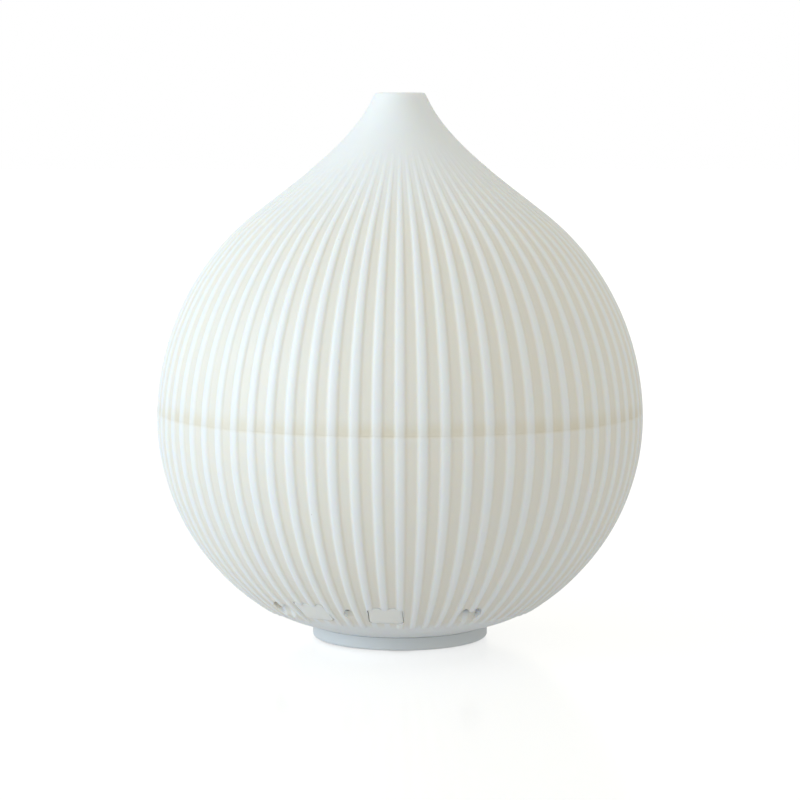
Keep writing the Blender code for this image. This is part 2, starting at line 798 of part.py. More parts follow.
def tank_gasket():
    """The soft ring between the shell's ledge and the tank's flange."""
    low = LEDGE_Z + GAP
    outer = inner_radius(LEDGE_Z) - SLIDE_GAP
    inner = inner_radius(LEDGE_Z) - LEDGE_WIDTH + GAP
    high = low + GASKET_HEIGHT
    points = [(outer, high), (outer, low), (inner, low), (inner, high)]
    piece("tank_gasket", "seal_silicone", turned(points))


def dome_points(rim, crown, low, rise):
    """A low dome from its rim in to its crown."""
    for n in range(DOME_STEPS + 1):
        turn = math.pi / 2 * n / DOME_STEPS
        yield crown + (rim - crown) * math.cos(turn), low + rise * math.sin(turn)


def tank_cover():
    """The splash cover: a rim in the tank's seat, a low dome and the mist chimney."""
    low = FLANGE_TOP + GAP
    rim = inner_radius(TANK_TOP) - SLIDE_GAP - UPSTAND_WALL - SLIDE_GAP
    shoulder = tank_outer(LEDGE_Z) - TANK_WALL
    dome_low = low + COVER_RIM
    outside = dome_points(shoulder, CHIMNEY_FOOT, dome_low, DOME_RISE)
    inside = dome_points(
        shoulder - COVER_WALL, CHIMNEY_FOOT - COVER_WALL, low, DOME_RISE
    )
    points = [(rim, low), (rim, dome_low), *outside]
    points += [(CHIMNEY_TIP, CHIMNEY_Z), (CHIMNEY_TIP - COVER_WALL, CHIMNEY_Z)]
    points += reversed(list(inside))
    piece("tank_cover", "tank_white", turned(points), origin=(0, 0, low))


# ---------------------------------------------------------------- ultrasonic disc


def ultrasonic_disc():
    """The disc in its grooved seal, clamped by a ring with three screws."""
    seal_top = FLOOR_BOTTOM - GAP
    seal_low = seal_top - SEAL_HEIGHT
    middle = (seal_top + seal_low) / 2
    slot = DISC_THICK / 2 + GAP
    points = [
        (SEAL_RADIUS, seal_top),
        (SEAL_RADIUS, seal_low),
        (THROAT_RADIUS, seal_low),
        (THROAT_RADIUS, middle - slot),
        (DISC_RADIUS + GAP, middle - slot),
        (DISC_RADIUS + GAP, middle + slot),
        (THROAT_RADIUS, middle + slot),
        (THROAT_RADIUS, seal_top),
    ]
    piece("piezo_seal", "seal_silicone", turned(points, BOSS_FACETS))
    low, high = middle - DISC_THICK / 2, middle + DISC_THICK / 2
    disc = [(0, high), (DISC_RADIUS, high), (DISC_RADIUS, low), (0, low)]
    piece("piezo_disc", "disc_ceramic", turned(disc, BOSS_FACETS))
    high = BOSS_BOTTOM - GAP
    low = high - RETAINER_THICK
    points = [(BOSS_RADIUS, high), (BOSS_RADIUS, low), (THROAT_RADIUS, low), (THROAT_RADIUS, high)]
    retainer = piece("piezo_retainer", "part_black", turned(points, BOSS_FACETS))
    holes = [
        rod(SMALL_SHANK + SCREW_GAP, (x, y, low - GAP), (x, y, high + GAP), HOLE_FACETS)
        for x, y in retainer_spots()
    ]
    cut(retainer, "retainer_holes", *holes)
    for n, (x, y) in enumerate(retainer_spots(), 1):
        seat = (x, y, low - GAP)
        tip = (x, y, FLOOR_BOTTOM - GAP)
        screw(f"retainer_screw_{n}", seat, tip, SMALL_SHANK, SMALL_HEAD, HEAD_HEIGHT)


# ---------------------------------------------------------------- fan


def fan_frame():
    """A square frame with a round bore and a hub that holds the bearing on four struts."""
    middle = (FAN_BOTTOM + FAN_TOP) / 2
    frame = piece("fan_frame", "part_black", block((FAN_SIZE, FAN_SIZE, FAN_THICK), (0, FAN_Y, middle)))
    ends = (0, FAN_Y, FAN_BOTTOM - GAP), (0, FAN_Y, FAN_TOP + GAP)
    bore = rod(FAN_BORE, *ends, DUCT_FACETS)
    corner_holes = [
        rod(SMALL_SHANK + SCREW_GAP, (x, y, FAN_BOTTOM - GAP), (x, y, FAN_TOP + GAP), HOLE_FACETS)
        for x, y in fan_corners(FAN_HOLE_INSET)
    ]
    cut(frame, "frame_holes", bore, *corner_holes)
    reach = 2 * FAN_BORE + FAN_RIM
    struts = [
        block((reach, FAN_STRUT, FAN_STRUT), (0, FAN_Y, FAN_BOTTOM + FAN_STRUT / 2 + GAP)),
        block((FAN_STRUT, reach, FAN_STRUT), (0, FAN_Y, FAN_BOTTOM + FAN_STRUT / 2 + GAP / 2)),
    ]
    hub_top = FAN_BOTTOM + FAN_STRUT
    points = [
        (0, FAN_BOTTOM),
        (FAN_HUB_RADIUS, FAN_BOTTOM),
        (FAN_HUB_RADIUS, hub_top),
        (BEARING_TUBE_RADIUS, hub_top),
        (BEARING_TUBE_RADIUS, BEARING_TOP),
        (0, BEARING_TOP),
    ]
    join(frame, "strut", *struts)
    join(frame, "frame_hub", turned(points, ROD_FACETS, Matrix.Translation((0, FAN_Y, 0))))
    seat = BEARING_RADIUS + GAP
    cut(frame, "bearing_seat", rod(seat, (0, FAN_Y, BEARING_LOW - GAP), (0, FAN_Y, FAN_TOP)))


def fan_bearing_and_stator():
    """The sleeve in the frame's tube, and the wound ring round the tube."""
    inner = FAN_SHAFT_RADIUS + SHAFT_GAP
    points = [
        (BEARING_RADIUS, BEARING_TOP),
        (BEARING_RADIUS, BEARING_LOW),
        (inner, BEARING_LOW),
        (inner, BEARING_TOP),
    ]
    place = Matrix.Translation((0, FAN_Y, 0))
    piece("fan_bearing", "brass", turned(points, ROD_FACETS, place))
    outer = FAN_HUB_RADIUS - FAN_HUB_WALL - FAN_TIP_GAP
    inner = BEARING_TUBE_RADIUS + GAP
    low, high = HUB_LOW, BEARING_TOP - FAN_TIP_GAP
    points = [(outer, high), (outer, low), (inner, low), (inner, high)]
    piece("fan_stator", "copper", turned(points, ROD_FACETS, place))


def fan_rotor():
    """The impeller: a cup over the stator with tilted blades, and its shaft."""
    origin = (0, FAN_Y, FAN_BOTTOM)
    place = Matrix.Translation((0, FAN_Y, 0))
    inner = FAN_HUB_RADIUS - FAN_HUB_WALL
    bore = FAN_SHAFT_RADIUS + SCREW_GAP / 2
    points = [
        (FAN_HUB_RADIUS, HUB_TOP),
        (FAN_HUB_RADIUS, HUB_LOW),
        (inner, HUB_LOW),
        (inner, HUB_ROOF),
        (bore, HUB_ROOF),
        (bore, HUB_TOP),
    ]
    impeller = piece("fan_impeller", "part_black", turned(points, ROD_FACETS, place), origin=origin)
    tip = FAN_BORE - FAN_TIP_GAP
    root = FAN_HUB_RADIUS - FAN_HUB_WALL / 2
    chord = (HUB_TOP - HUB_LOW) * FAN_BLADE_SHARE
    middle = (HUB_TOP + HUB_LOW) / 2
    blades = []
    for n in range(FAN_BLADES):
        turn = Matrix.Rotation(2 * math.pi * n / FAN_BLADES, 4, "Z")
        tilt = Matrix.Rotation(FAN_BLADE_TILT, 4, "X")
        stand = Matrix.Translation((0, FAN_Y, middle)) @ turn @ tilt
        blade = block((tip - root, FAN_BLADE_THICK, chord), ((tip + root) / 2, 0, 0), stand)
        blades.append(blade)
    join(impeller, "blade", *blades)
    low = BEARING_LOW + GAP
    shaft = rod(FAN_SHAFT_RADIUS, (0, FAN_Y, low), (0, FAN_Y, HUB_TOP))
    piece("fan_shaft", "screw_steel", shaft, origin=origin)


def fan_screws():
    for n, (x, y) in enumerate(fan_corners(FAN_HOLE_INSET), 1):
        seat = (x, y, FAN_BOTTOM - GAP)
        tip = (x, y, FLOOR_BOTTOM - GAP)
        screw(f"fan_screw_{n}", seat, tip, SMALL_SHANK, SMALL_HEAD, HEAD_HEIGHT)


# ---------------------------------------------------------------- base and driver board


def standoff_spots():
    x = STANDOFF_RING * math.cos(STANDOFF_TURN)
    y = STANDOFF_RING * math.sin(STANDOFF_TURN)
    return [(-x, -y), (x, -y), (-x, y), (x, y)]


def base_plate():
    """The round foot: a plate with a rim, an air grille, and standoffs for the board."""
    rim_low = PAD_PROUD
    inner = FOOT_RADIUS - FOOT_RIM
    points = [
        (0, FOOT_TOP),
        (FOOT_RADIUS, FOOT_TOP),
        (FOOT_RADIUS, rim_low + FOOT_EDGE),
        (FOOT_RADIUS - FOOT_EDGE * ROUND_SHARE, rim_low + FOOT_EDGE * ROUND_SHARE),
        (FOOT_RADIUS - FOOT_EDGE, rim_low),
        (inner, rim_low),
        (inner, PLATE_BOTTOM),
        (0, PLATE_BOTTOM),
    ]
    plate = piece("base_plate", "foot_grey", turned(points))
    high = FOOT_TOP + STANDOFF_HEIGHT
    middle = (PLATE_BOTTOM + FOOT_TOP) / 2
    posts = [
        rod(STANDOFF_RADIUS, (x, y, middle), (x, y, high), POST_FACETS)
        for x, y in standoff_spots()
    ]
    join(plate, "standoff", *posts)
    holes = []
    for n in range(GRILLE_SLOTS):
        y = (n - (GRILLE_SLOTS - 1) / 2) * GRILLE_PITCH
        holes.append(block((GRILLE_LENGTH, GRILLE_SLOT, PLATE_THICK * 2), (0, y, middle)))
    for x, y in pillar_spots():
        ends = (x, y, PLATE_BOTTOM - GAP), (x, y, FOOT_TOP + GAP)
        holes.append(rod(BASE_SHANK + SCREW_GAP, *ends, HOLE_FACETS))
    for x, y in standoff_spots():
        ends = (x, y, high - BOARD_SHANK_LENGTH), (x, y, high + GAP)
        holes.append(rod(SMALL_SHANK + SCREW_GAP, *ends, HOLE_FACETS))
    cut(plate, "plate_holes", *holes)
    for n, (x, y) in enumerate(pillar_spots(), 1):
        tip = SHELL_BOTTOM + SHELL_WALL + PILLAR_PILOT_DEPTH - GAP
        seat = (x, y, PLATE_BOTTOM - GAP)
        screw(f"base_screw_{n}", seat, (x, y, tip), BASE_SHANK, BASE_HEAD, HEAD_HEIGHT)


def rubber_feet():
    """Four round pads under the plate, set between the screws."""
    ring_radius = FOOT_RADIUS - FOOT_RIM - PAD_RADIUS - GAP
    for n in range(4):
        spot = on_circle(math.radians(90 * n), ring_radius, 0)
        ends = (spot.x, spot.y, 0), (spot.x, spot.y, PLATE_BOTTOM - GAP)
        piece(f"rubber_foot_{n + 1}", "foot_rubber", rod(PAD_RADIUS, *ends))


def driver_board():
    """The board on its four standoffs, with the parts that drive the disc and the fan."""
    spot_x, spot_y = standoff_spots()[-1]
    half_x, half_y = spot_x + BOARD_MARGIN, spot_y + BOARD_MARGIN
    size = (2 * half_x, 2 * half_y, BOARD_THICK)
    board = piece("main_board", "board_green", block(size, (0, 0, BOARD_Z + BOARD_THICK / 2)))
    holes = [
        rod(SMALL_SHANK + SCREW_GAP, (x, y, BOARD_Z - GAP), (x, y, BOARD_TOP + GAP), HOLE_FACETS)
        for x, y in standoff_spots()
    ]
    cut(board, "board_holes", *holes)
    for n, (x, y) in enumerate(standoff_spots(), 1):
        seat = (x, y, BOARD_TOP + GAP)
        tip = (x, y, BOARD_Z + GAP - BOARD_SHANK_LENGTH + SCREW_GAP)
        screw(f"board_screw_{n}", seat, tip, SMALL_SHANK, SMALL_HEAD, HEAD_HEIGHT)

    low = BOARD_TOP + GAP
    high = low + COIL_HEIGHT
    points = [
        (0, high),
        (COIL_RADIUS, high),
        (COIL_RADIUS, high - COIL_LIP),
        (COIL_WAIST, high - COIL_LIP),
        (COIL_WAIST, low + COIL_LIP),
        (COIL_RADIUS, low + COIL_LIP),
        (COIL_RADIUS, low),
        (0, low),
    ]
    coil = turned(points, ROD_FACETS, Matrix.Translation(COIL_SPOT))
    piece("drive_coil", "ferrite_grey", coil)
    for n, (x, radius, height) in enumerate(CAPACITORS, 1):
        y = CAPACITOR_INSET + radius - half_y
        piece(f"capacitor_{n}", "part_black", rod(radius, (x, y, low), (x, y, low + height)))

    case_y = half_y - TRANSISTOR_INSET
    case = block(TRANSISTOR_SIZE, (TRANSISTOR_X, case_y, low + TRANSISTOR_SIZE[2] / 2))
    piece("power_transistor", "part_black", case)
    sink_y = case_y + TRANSISTOR_SIZE[1] / 2 + GAP + SINK_SIZE[1] / 2
    middle = low + SINK_SIZE[2] / 2
    heat_sink = piece("heat_sink", "aluminium", block(SINK_SIZE, (TRANSISTOR_X, sink_y, middle)))
    fin = (FIN_THICK, FIN_REACH, SINK_SIZE[2])
    fins = []
    for n in range(FIN_COUNT):
        x = TRANSISTOR_X + (n - (FIN_COUNT - 1) / 2) * FIN_PITCH
        fins.append(block(fin, (x, sink_y + FIN_REACH / 2, middle)))
    join(heat_sink, "fin", *fins)


# ---------------------------------------------------------------- light, buttons, socket


def mood_light():
    """A strip of lamps under the front of the tank's floor."""
    length, width, thick = LED_BOARD
    top = FLOOR_BOTTOM - LED_DROP
    y = -(BOSS_RADIUS + FAN_CLEARANCE + width / 2)
    middle = top - LED_SIZE[2] - GAP - thick / 2
    piece("led_board", "board_green", block(LED_BOARD, (0, y, middle)))
    offset = length / 2 - STANDOFF_RADIUS
    tank = bpy.data.objects["water_tank"]
    board_top = middle + thick / 2
    pegs = [
        rod(SWITCH_POST, (x, y, board_top + GAP), (x, y, FLOOR_BOTTOM + TANK_FLOOR / 2), POST_FACETS)
        for x in (-offset, offset)
    ]
    join(tank, "led_peg", *pegs)
    pitch = (2 * offset - 2 * SWITCH_POST) / LED_COUNT
    for n in range(LED_COUNT):
        x = (n - (LED_COUNT - 1) / 2) * pitch
        centre = (x, y, board_top + GAP + LED_SIZE[2] / 2)
        piece(f"led_{n + 1}", "led_white", block(LED_SIZE, centre))


def push_button(name, turn):
    """A cap held behind the wall by its flange, and the switch that it presses."""
    place = wall_frame(turn, BUTTON_Z)
    origin = place.translation
    flange = SHELL_WALL + RIB_DEPTH + GAP * 2
    flange_low = flange + BUTTON_FLANGE
    face = slab(BUTTON_WIDTH, BUTTON_LENGTH, BUTTON_CORNER, -flange_low, -BUTTON_SUNK, place)
    cap = piece(f"{name}_button", "button_white", face, origin=origin)
    wide = 2 * BUTTON_FLANGE
    collar = slab(
        BUTTON_WIDTH + wide, BUTTON_LENGTH + wide, BUTTON_CORNER, -flange_low, -flange, place
    )
    switch_top = SWITCH_REACH - GAP
    plunger_top = switch_top - PLUNGER_PROUD
    stem_end = plunger_top - GAP
    start, end = Vector((0, 0, -flange)), Vector((0, 0, -stem_end))
    stem = rod(STEM_RADIUS, place @ start, place @ end, POST_FACETS)
    join(cap, f"{name}_cap", collar, stem)

    well = PLUNGER_PROUD + BUTTON_TRAVEL
    start = place @ Vector((0, 0, -plunger_top))
    end = place @ Vector((0, 0, -(switch_top + well / 2)))
    plunger = rod(PLUNGER_RADIUS, start, end, POST_FACETS)
    piece(f"{name}_plunger", "part_black", plunger, origin=origin)
    middle = switch_top + (SWITCH_HEIGHT - GAP) / 2
    size = (SWITCH_SIZE, SWITCH_SIZE, SWITCH_HEIGHT - GAP)
    body = piece(f"{name}_switch", "part_black", block(size, (0, 0, -middle), place))
    start = place @ Vector((0, 0, -(switch_top - GAP)))
    end = place @ Vector((0, 0, -(switch_top + well + BUTTON_TRAVEL)))
    cut(body, f"{name}_well", rod(PLUNGER_RADIUS + SCREW_GAP, start, end, POST_FACETS))

    board_top = SWITCH_REACH + SWITCH_HEIGHT
    thick = LED_BOARD[2]
    width = SWITCH_SIZE + BOARD_MARGIN
    length = 2 * (post_offset() + SWITCH_POST)
    centre = (0, 0, -(board_top + thick / 2))
    board = piece(f"{name}_board", "board_green", block((width, length, thick), centre, place))
    holes = []
    for n, (_, post) in enumerate(switch_posts(turn), 1):
        inward = place.to_3x3() @ Vector((0, 0, -1))
        inner = post + inward * (thick + 3 * GAP)
        holes.append(rod(SMALL_SHANK + SCREW_GAP, post, inner, HOLE_FACETS))
        seat = post + inward * (2 * GAP + thick)
        tip = post - inward * (SWITCH_SHANK_LENGTH - SCREW_GAP)
        screw(f"{name}_board_screw_{n}", seat, tip, SMALL_SHANK, SMALL_HEAD, HEAD_HEIGHT)
    cut(board, f"{name}_board_holes", *holes)


def indicator_lens():
    """The short light guide between the buttons, sunk below the ribs."""
    place = wall_frame(INDICATOR_TURN, INDICATOR_Z)
    start = place @ Vector((0, 0, -RIB_DEPTH - GAP))
    end = place @ Vector((0, 0, -RIB_DEPTH - INDICATOR_LENGTH))
    piece("indicator_lens", "lens_clear", rod(INDICATOR_RADIUS, start, end, HOLE_FACETS))


def power_socket():
    """A barrel socket behind its boss, with a separate centre pin."""
    back = jack_seat() - GAP
    block_middle = back - JACK_LENGTH / 2
    size = (JACK_BODY, JACK_LENGTH, JACK_BODY)
    jack = piece("dc_socket", "part_black", block(size, (0, block_middle, JACK_Z)))
    barrel = rod(
        JACK_BORE + JACK_WALL, (0, back - JACK_WALL, JACK_Z), (0, jack_face(), JACK_Z)
    )
    join(jack, "socket_barrel", barrel)
    floor = back - JACK_BORE_DEPTH
    bore = rod(JACK_BORE, (0, floor, JACK_Z), (0, jack_face() + GAP, JACK_Z))
    cut(jack, "socket_bore", bore)
    ends = (0, floor + GAP, JACK_Z), (0, jack_face() - 2 * GAP, JACK_Z)
    piece("dc_socket_pin", "brass", rod(JACK_PIN_RADIUS, *ends, POST_FACETS))


def main():
    clear_scene()
    lower_shell()
    top_cover()
    water_tank()
    tank_gasket()
    tank_cover()
    ultrasonic_disc()
    fan_frame()
    fan_bearing_and_stator()
    fan_rotor()
    fan_screws()
    base_plate()
    rubber_feet()
    driver_board()
    mood_light()
    for name, turn in BUTTON_TURNS.items():
        push_button(name, turn)
    indicator_lens()
    power_socket()


main()
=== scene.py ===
"""Looks for the cool mist humidifier: fine ribbed shells, buttons, foot, tank and cover, materials
for every node, and the studio. Metres, +Z up, the front faces -Y. Turns run about +Z from the front
towards +X, as in the model's source."""

import json
import math

import bmesh
import bpy
import numpy as np
from mathutils import Matrix, Vector

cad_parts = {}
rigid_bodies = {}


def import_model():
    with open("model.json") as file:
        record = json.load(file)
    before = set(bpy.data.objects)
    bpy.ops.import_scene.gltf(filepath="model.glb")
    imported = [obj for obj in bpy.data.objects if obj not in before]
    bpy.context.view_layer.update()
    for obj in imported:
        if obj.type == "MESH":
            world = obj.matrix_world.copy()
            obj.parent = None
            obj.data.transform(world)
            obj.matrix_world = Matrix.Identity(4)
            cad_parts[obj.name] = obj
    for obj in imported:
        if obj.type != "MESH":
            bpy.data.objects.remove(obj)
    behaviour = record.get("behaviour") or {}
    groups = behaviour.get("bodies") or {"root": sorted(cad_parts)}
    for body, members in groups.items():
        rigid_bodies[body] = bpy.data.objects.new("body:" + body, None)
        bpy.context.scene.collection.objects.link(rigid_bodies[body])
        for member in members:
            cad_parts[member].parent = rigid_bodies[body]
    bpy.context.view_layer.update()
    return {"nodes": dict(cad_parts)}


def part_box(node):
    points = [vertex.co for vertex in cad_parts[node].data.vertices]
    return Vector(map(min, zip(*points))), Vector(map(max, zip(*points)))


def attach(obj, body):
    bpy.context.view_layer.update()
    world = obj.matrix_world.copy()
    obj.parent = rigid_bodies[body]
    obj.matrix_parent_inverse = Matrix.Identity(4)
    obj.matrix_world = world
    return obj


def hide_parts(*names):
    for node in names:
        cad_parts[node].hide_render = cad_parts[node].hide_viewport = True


for thing in list(bpy.data.objects):
    bpy.data.objects.remove(thing)
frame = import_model()


def middle(node):
    """The centre of a node's box."""
    low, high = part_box(node)
    return (low + high) / 2


# ---------------------------------------------------------------- sizes

# Outline of the case over its ribs
COVER_LOW, COVER_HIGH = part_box("top_cover")
SHELL_LOW, SHELL_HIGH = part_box("lower_shell")
BODY_RADIUS = COVER_HIGH.x
HEIGHT = COVER_HIGH.z
WIDEST_Z = 0.0766
UPPER_RISE = 0.0881
LOWER_DROP = 0.0792
SHOULDER_TURN = math.radians(53.5)
SHOULDER_HANDLE = 0.0214
LIP_HANDLE = 0.0170
LIP_RADIUS = 0.0086
LIP_LEAN = math.radians(22.5)
LIP_ROUND = 0.0013
UNDERSIDE_Z = 0.0125
UNDERSIDE_SLOPE = math.radians(10)
UNDERSIDE_HANDLE = 0.0070
FOOT_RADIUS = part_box("base_plate")[1].x
FOOT_TOP = 0.00494
SHELL_WALL = 0.0026
EDGE = 0.00003

# Ribs
RIB_COUNT = 72
RIB_TURN = 2 * math.pi / RIB_COUNT
RIB_DEPTH = 0.00055
RIB_FLAT = 0.13
RIB_FOOT = 0.29
RIB_STOPS = (-0.5, -0.37, -0.29, -0.235, -0.18, -0.09, 0, 0.09, 0.18, 0.235, 0.29, 0.37)
RIB_TOP_Z = 0.1720
RIB_FADE = 0.0380
RIB_END_Z = 0.0108
RIB_END_ROUND = 0.0014
BAND_RISE = 0.0035

# Buttons, light guide and air intakes, in the frame of the wall where they sit
BUTTON_TURNS = {"mist": math.radians(-5.0), "light": math.radians(-32.0)}
BUTTON_Z = 0.0161
BUTTON_WIDTH = 0.0112
BUTTON_LENGTH = 0.0100
BUTTON_CORNER = 0.0016
BUTTON_SCALLOP = 0.0009
BUTTON_GAP = 0.00022
BUTTON_SUNK = 0.0004
BUTTON_ROUND = 0.0004
NOTCH_TURN = math.radians(-18.0)
NOTCH_Z = 0.0169
INTAKE_COUNT = 5
INTAKE_TURN = math.radians(25.0)
INTAKE_Z = 0.0156
INTAKE_WIDTH = 0.0086
INTAKE_LENGTH = 0.0086
INTAKE_DEPTH = 0.0048

# Seam, underside and the rims inside the lower shell
SEAM_REACH = 0.00014
SEAM_TOP = COVER_LOW.z - SEAM_REACH
SEAM_LOW = SHELL_HIGH.z + SEAM_REACH
SEAM_EASE = 0.0012
SHELL_FOOT = SHELL_LOW.z
HATCH_RADIUS = 0.0226
LEDGE_Z = 0.0744
LEDGE_WIDTH = 0.0030

# Light guide, socket hole and screws
LENS_TURN = math.radians(-18.4)
LENS_Z = 0.0180
LENS_HOLE = 0.0013
NOTCH_SIZE = (0.0036, 0.0052, 0.0030, 0.0004)
SOCKET_HOLE = 0.0045
SCREW_HOLE = 0.0016
SMALL_HOLE = 0.0011
HEAD_HEIGHT = 0.0012

# Tank and splash cover
FIT = 0.0003
SLIDE = 0.0006
TANK_WALL = 0.0020
TANK_CORNER = 0.0090
THROAT_RADIUS = 0.0086
DISH_RADIUS = 0.0180
DUCT_RADIUS = 0.0138
DUCT_BORE = 0.0118
FAN_PAD = 0.030
PILLAR_RADIUS = 0.0032
LAMP_POST = 0.0022
LAMP_POST_X = 0.0146
COVER_WALL = 0.0018
COVER_RIM = 0.0020
DOME_RISE = 0.0150
CHIMNEY_TIP = 0.0085
CHIMNEY_FOOT = 0.0105

# Foot
STANDOFF_RADIUS = 0.0024
SLOT_COUNT = 5
SLOT_PITCH = 0.0040
SLOT_SIZE = (0.018, 0.0018, 0.006)

# Camera and studio
CAMERA_PLACE = (0, -0.8926, 0.1742)
CAMERA_DROP = math.radians(5.85)
CAMERA_LENS = 116.4
AIM = (0, 0, 0.09)
FLOOR_RADIUS = 12.0
FLOOR_GLOW = 0.28
FLOOR_GLOW_SEEN = 0.61
SHARP_TURN = math.radians(40)

LINING_COLUMNS = 144
ROUND_COLUMNS = 192


# ---------------------------------------------------------------- outline of the case


def bezier(start, start_handle, end_handle, end, steps=160):
    """Points along a cubic curve, both ends included."""
    t = np.linspace(0, 1, steps)[:, None]
    one = 1 - t
    return one**3 * start + 3 * one**2 * t * start_handle + 3 * one * t**2 * end_handle + t**3 * end


def ellipse(low_turn, high_turn, rise, steps=160):
    """Points of the case's ellipse between two turns from its widest level."""
    turn = np.linspace(low_turn, high_turn, steps)
    return np.stack([BODY_RADIUS * np.cos(turn), WIDEST_Z + rise * np.sin(turn)], axis=1)


def heading(one, two):
    return (two - one) / np.linalg.norm(two - one)


def outline():
    """The outline over the ribs from the foot up to the lip, as rows of (radius, z)."""
    low_turn = math.asin((UNDERSIDE_Z - WIDEST_Z) / LOWER_DROP)
    lower = ellipse(low_turn, 0, LOWER_DROP)
    upper = ellipse(0, SHOULDER_TURN, UPPER_RISE)
    edge = np.array([FOOT_RADIUS, SHELL_FOOT])
    flat = np.array([math.cos(UNDERSIDE_SLOPE), math.sin(UNDERSIDE_SLOPE)])
    underside = bezier(
        edge,
        edge + UNDERSIDE_HANDLE * flat,
        lower[0] - UNDERSIDE_HANDLE * heading(lower[0], lower[1]),
        lower[0],
    )
    lip = np.array([LIP_RADIUS, HEIGHT])
    rising = np.array([-math.sin(LIP_LEAN), math.cos(LIP_LEAN)])
    neck = bezier(
        upper[-1],
        upper[-1] + SHOULDER_HANDLE * heading(upper[-2], upper[-1]),
        lip - LIP_HANDLE * rising,
        lip,
    )
    return np.concatenate([underside, lower[1:], upper[1:], neck[1:]])


OUTER = outline()
LENGTHS = np.concatenate([[0], np.cumsum(np.linalg.norm(np.diff(OUTER, axis=0), axis=1))])
ALONG = np.gradient(OUTER, axis=0)
ALONG /= np.linalg.norm(ALONG, axis=1)[:, None]
NORMALS = np.stack([ALONG[:, 1], -ALONG[:, 0]], axis=1)


def length_at(z):
    """How far along the outline a level lies, from the foot."""
    return float(np.interp(z, OUTER[:, 1], LENGTHS))


def on_outline(length):
    """The (radius, z) at a length along the outline, and the normal there."""
    point = np.array([np.interp(length, LENGTHS, OUTER[:, axis]) for axis in (0, 1)])
    normal = np.array([np.interp(length, LENGTHS, NORMALS[:, axis]) for axis in (0, 1)])
    return point, normal / np.linalg.norm(normal)


def outer_radius(z):
    return float(np.interp(z, OUTER[:, 1], OUTER[:, 0]))


def inner_radius(z):
    lining = OUTER - SHELL_WALL * NORMALS
    return float(np.interp(z, lining[:, 1], lining[:, 0]))


def smooth(x):
    """A smooth step from 0 to 1."""
    x = np.clip(x, 0, 1)
    return x * x * (3 - 2 * x)


def rib_height(turns):
    """How much of a rib's height there is at each turn: 1 on the crest, 0 in the groove."""
    phase = np.abs((turns / RIB_TURN + 0.5) % 1 - 0.5)
    crown = 1 - 0.10 * np.clip(phase / RIB_FLAT, 0, 1) ** 2
    return crown * (1 - smooth((phase - RIB_FLAT) / (RIB_FOOT - RIB_FLAT)))


def rib_turns():
    """The turns of the columns of points, closer together on the flanks of each rib."""
    stops = np.array(RIB_STOPS)
    return np.concatenate([(n + stops) * RIB_TURN for n in range(RIB_COUNT)])


def wall_point(turn, z):
    return Vector((outer_radius(z) * math.sin(turn), -outer_radius(z) * math.cos(turn), z))


def wall_frame(turn, z):
    """A frame on the wall: X runs round the case, Y up the slope and Z straight out."""
    _, normal = on_outline(length_at(z))
    round_axis = Vector((math.cos(turn), math.sin(turn), 0))
    out = Vector((normal[0] * math.sin(turn), -normal[0] * math.cos(turn), normal[1]))
    place = Matrix.Identity(4)
    for column, axis in enumerate((round_axis, out.cross(round_axis), out)):
        for row in range(3):
            place[row][column] = axis[row]
    place.translation = wall_point(turn, z)
    return place


# ---------------------------------------------------------------- mesh tools


def ring_points(radius, z, turns):
    """One ring of points; radius and z are numbers or one value for each turn."""
    turns = np.asarray(turns)
    z = np.broadcast_to(z, turns.shape)
    return np.stack([radius * np.sin(turns), -radius * np.cos(turns), z], axis=1)


def bridge_rings(one, one_count, two, two_count):
    """Faces between two rings, where one may have several times the points of the other."""
    if one_count == two_count:
        n = np.arange(one_count)
        m = (n + 1) % one_count
        return np.stack([one + n, one + m, two + m, two + n], axis=1).tolist()
    flip = one_count < two_count
    if flip:
        one, one_count, two, two_count = two, two_count, one, one_count
    if two_count == 1:
        return [[one + n, one + (n + 1) % one_count, two] for n in range(one_count)]
    share = one_count // two_count
    faces = []
    for n in range(two_count):
        many = [one + (n * share + k) % one_count for k in range(share + 1)]
        faces.append([*many, two + (n + 1) % two_count, two + n])
    return faces


def sweep(name, rings):
    """A mesh through rings of points, the last joined to the first."""
    starts = np.cumsum([0] + [len(points) for points in rings])
    faces = []
    for n in range(len(rings)):
        after = (n + 1) % len(rings)
        faces += bridge_rings(starts[n], len(rings[n]), starts[after], len(rings[after]))
    mesh = bpy.data.meshes.new(name)
    mesh.from_pydata(np.concatenate(rings).tolist(), [], faces)
    return finish_mesh(mesh)


def finish_mesh(mesh):
    """Faces turned outwards and shaded smooth, with sharp edges kept."""
    bm = bmesh.new()
    bm.from_mesh(mesh)
    bmesh.ops.remove_doubles(bm, verts=bm.verts, dist=1e-7)
    bmesh.ops.recalc_face_normals(bm, faces=bm.faces)
    bm.to_mesh(mesh)
    bm.free()
    mesh.shade_smooth()
    mesh.set_sharp_from_angle(angle=SHARP_TURN)
    return mesh


def put(name, mesh):
    thing = bpy.data.objects.new(name, mesh)
    bpy.context.scene.collection.objects.link(thing)
    return thing


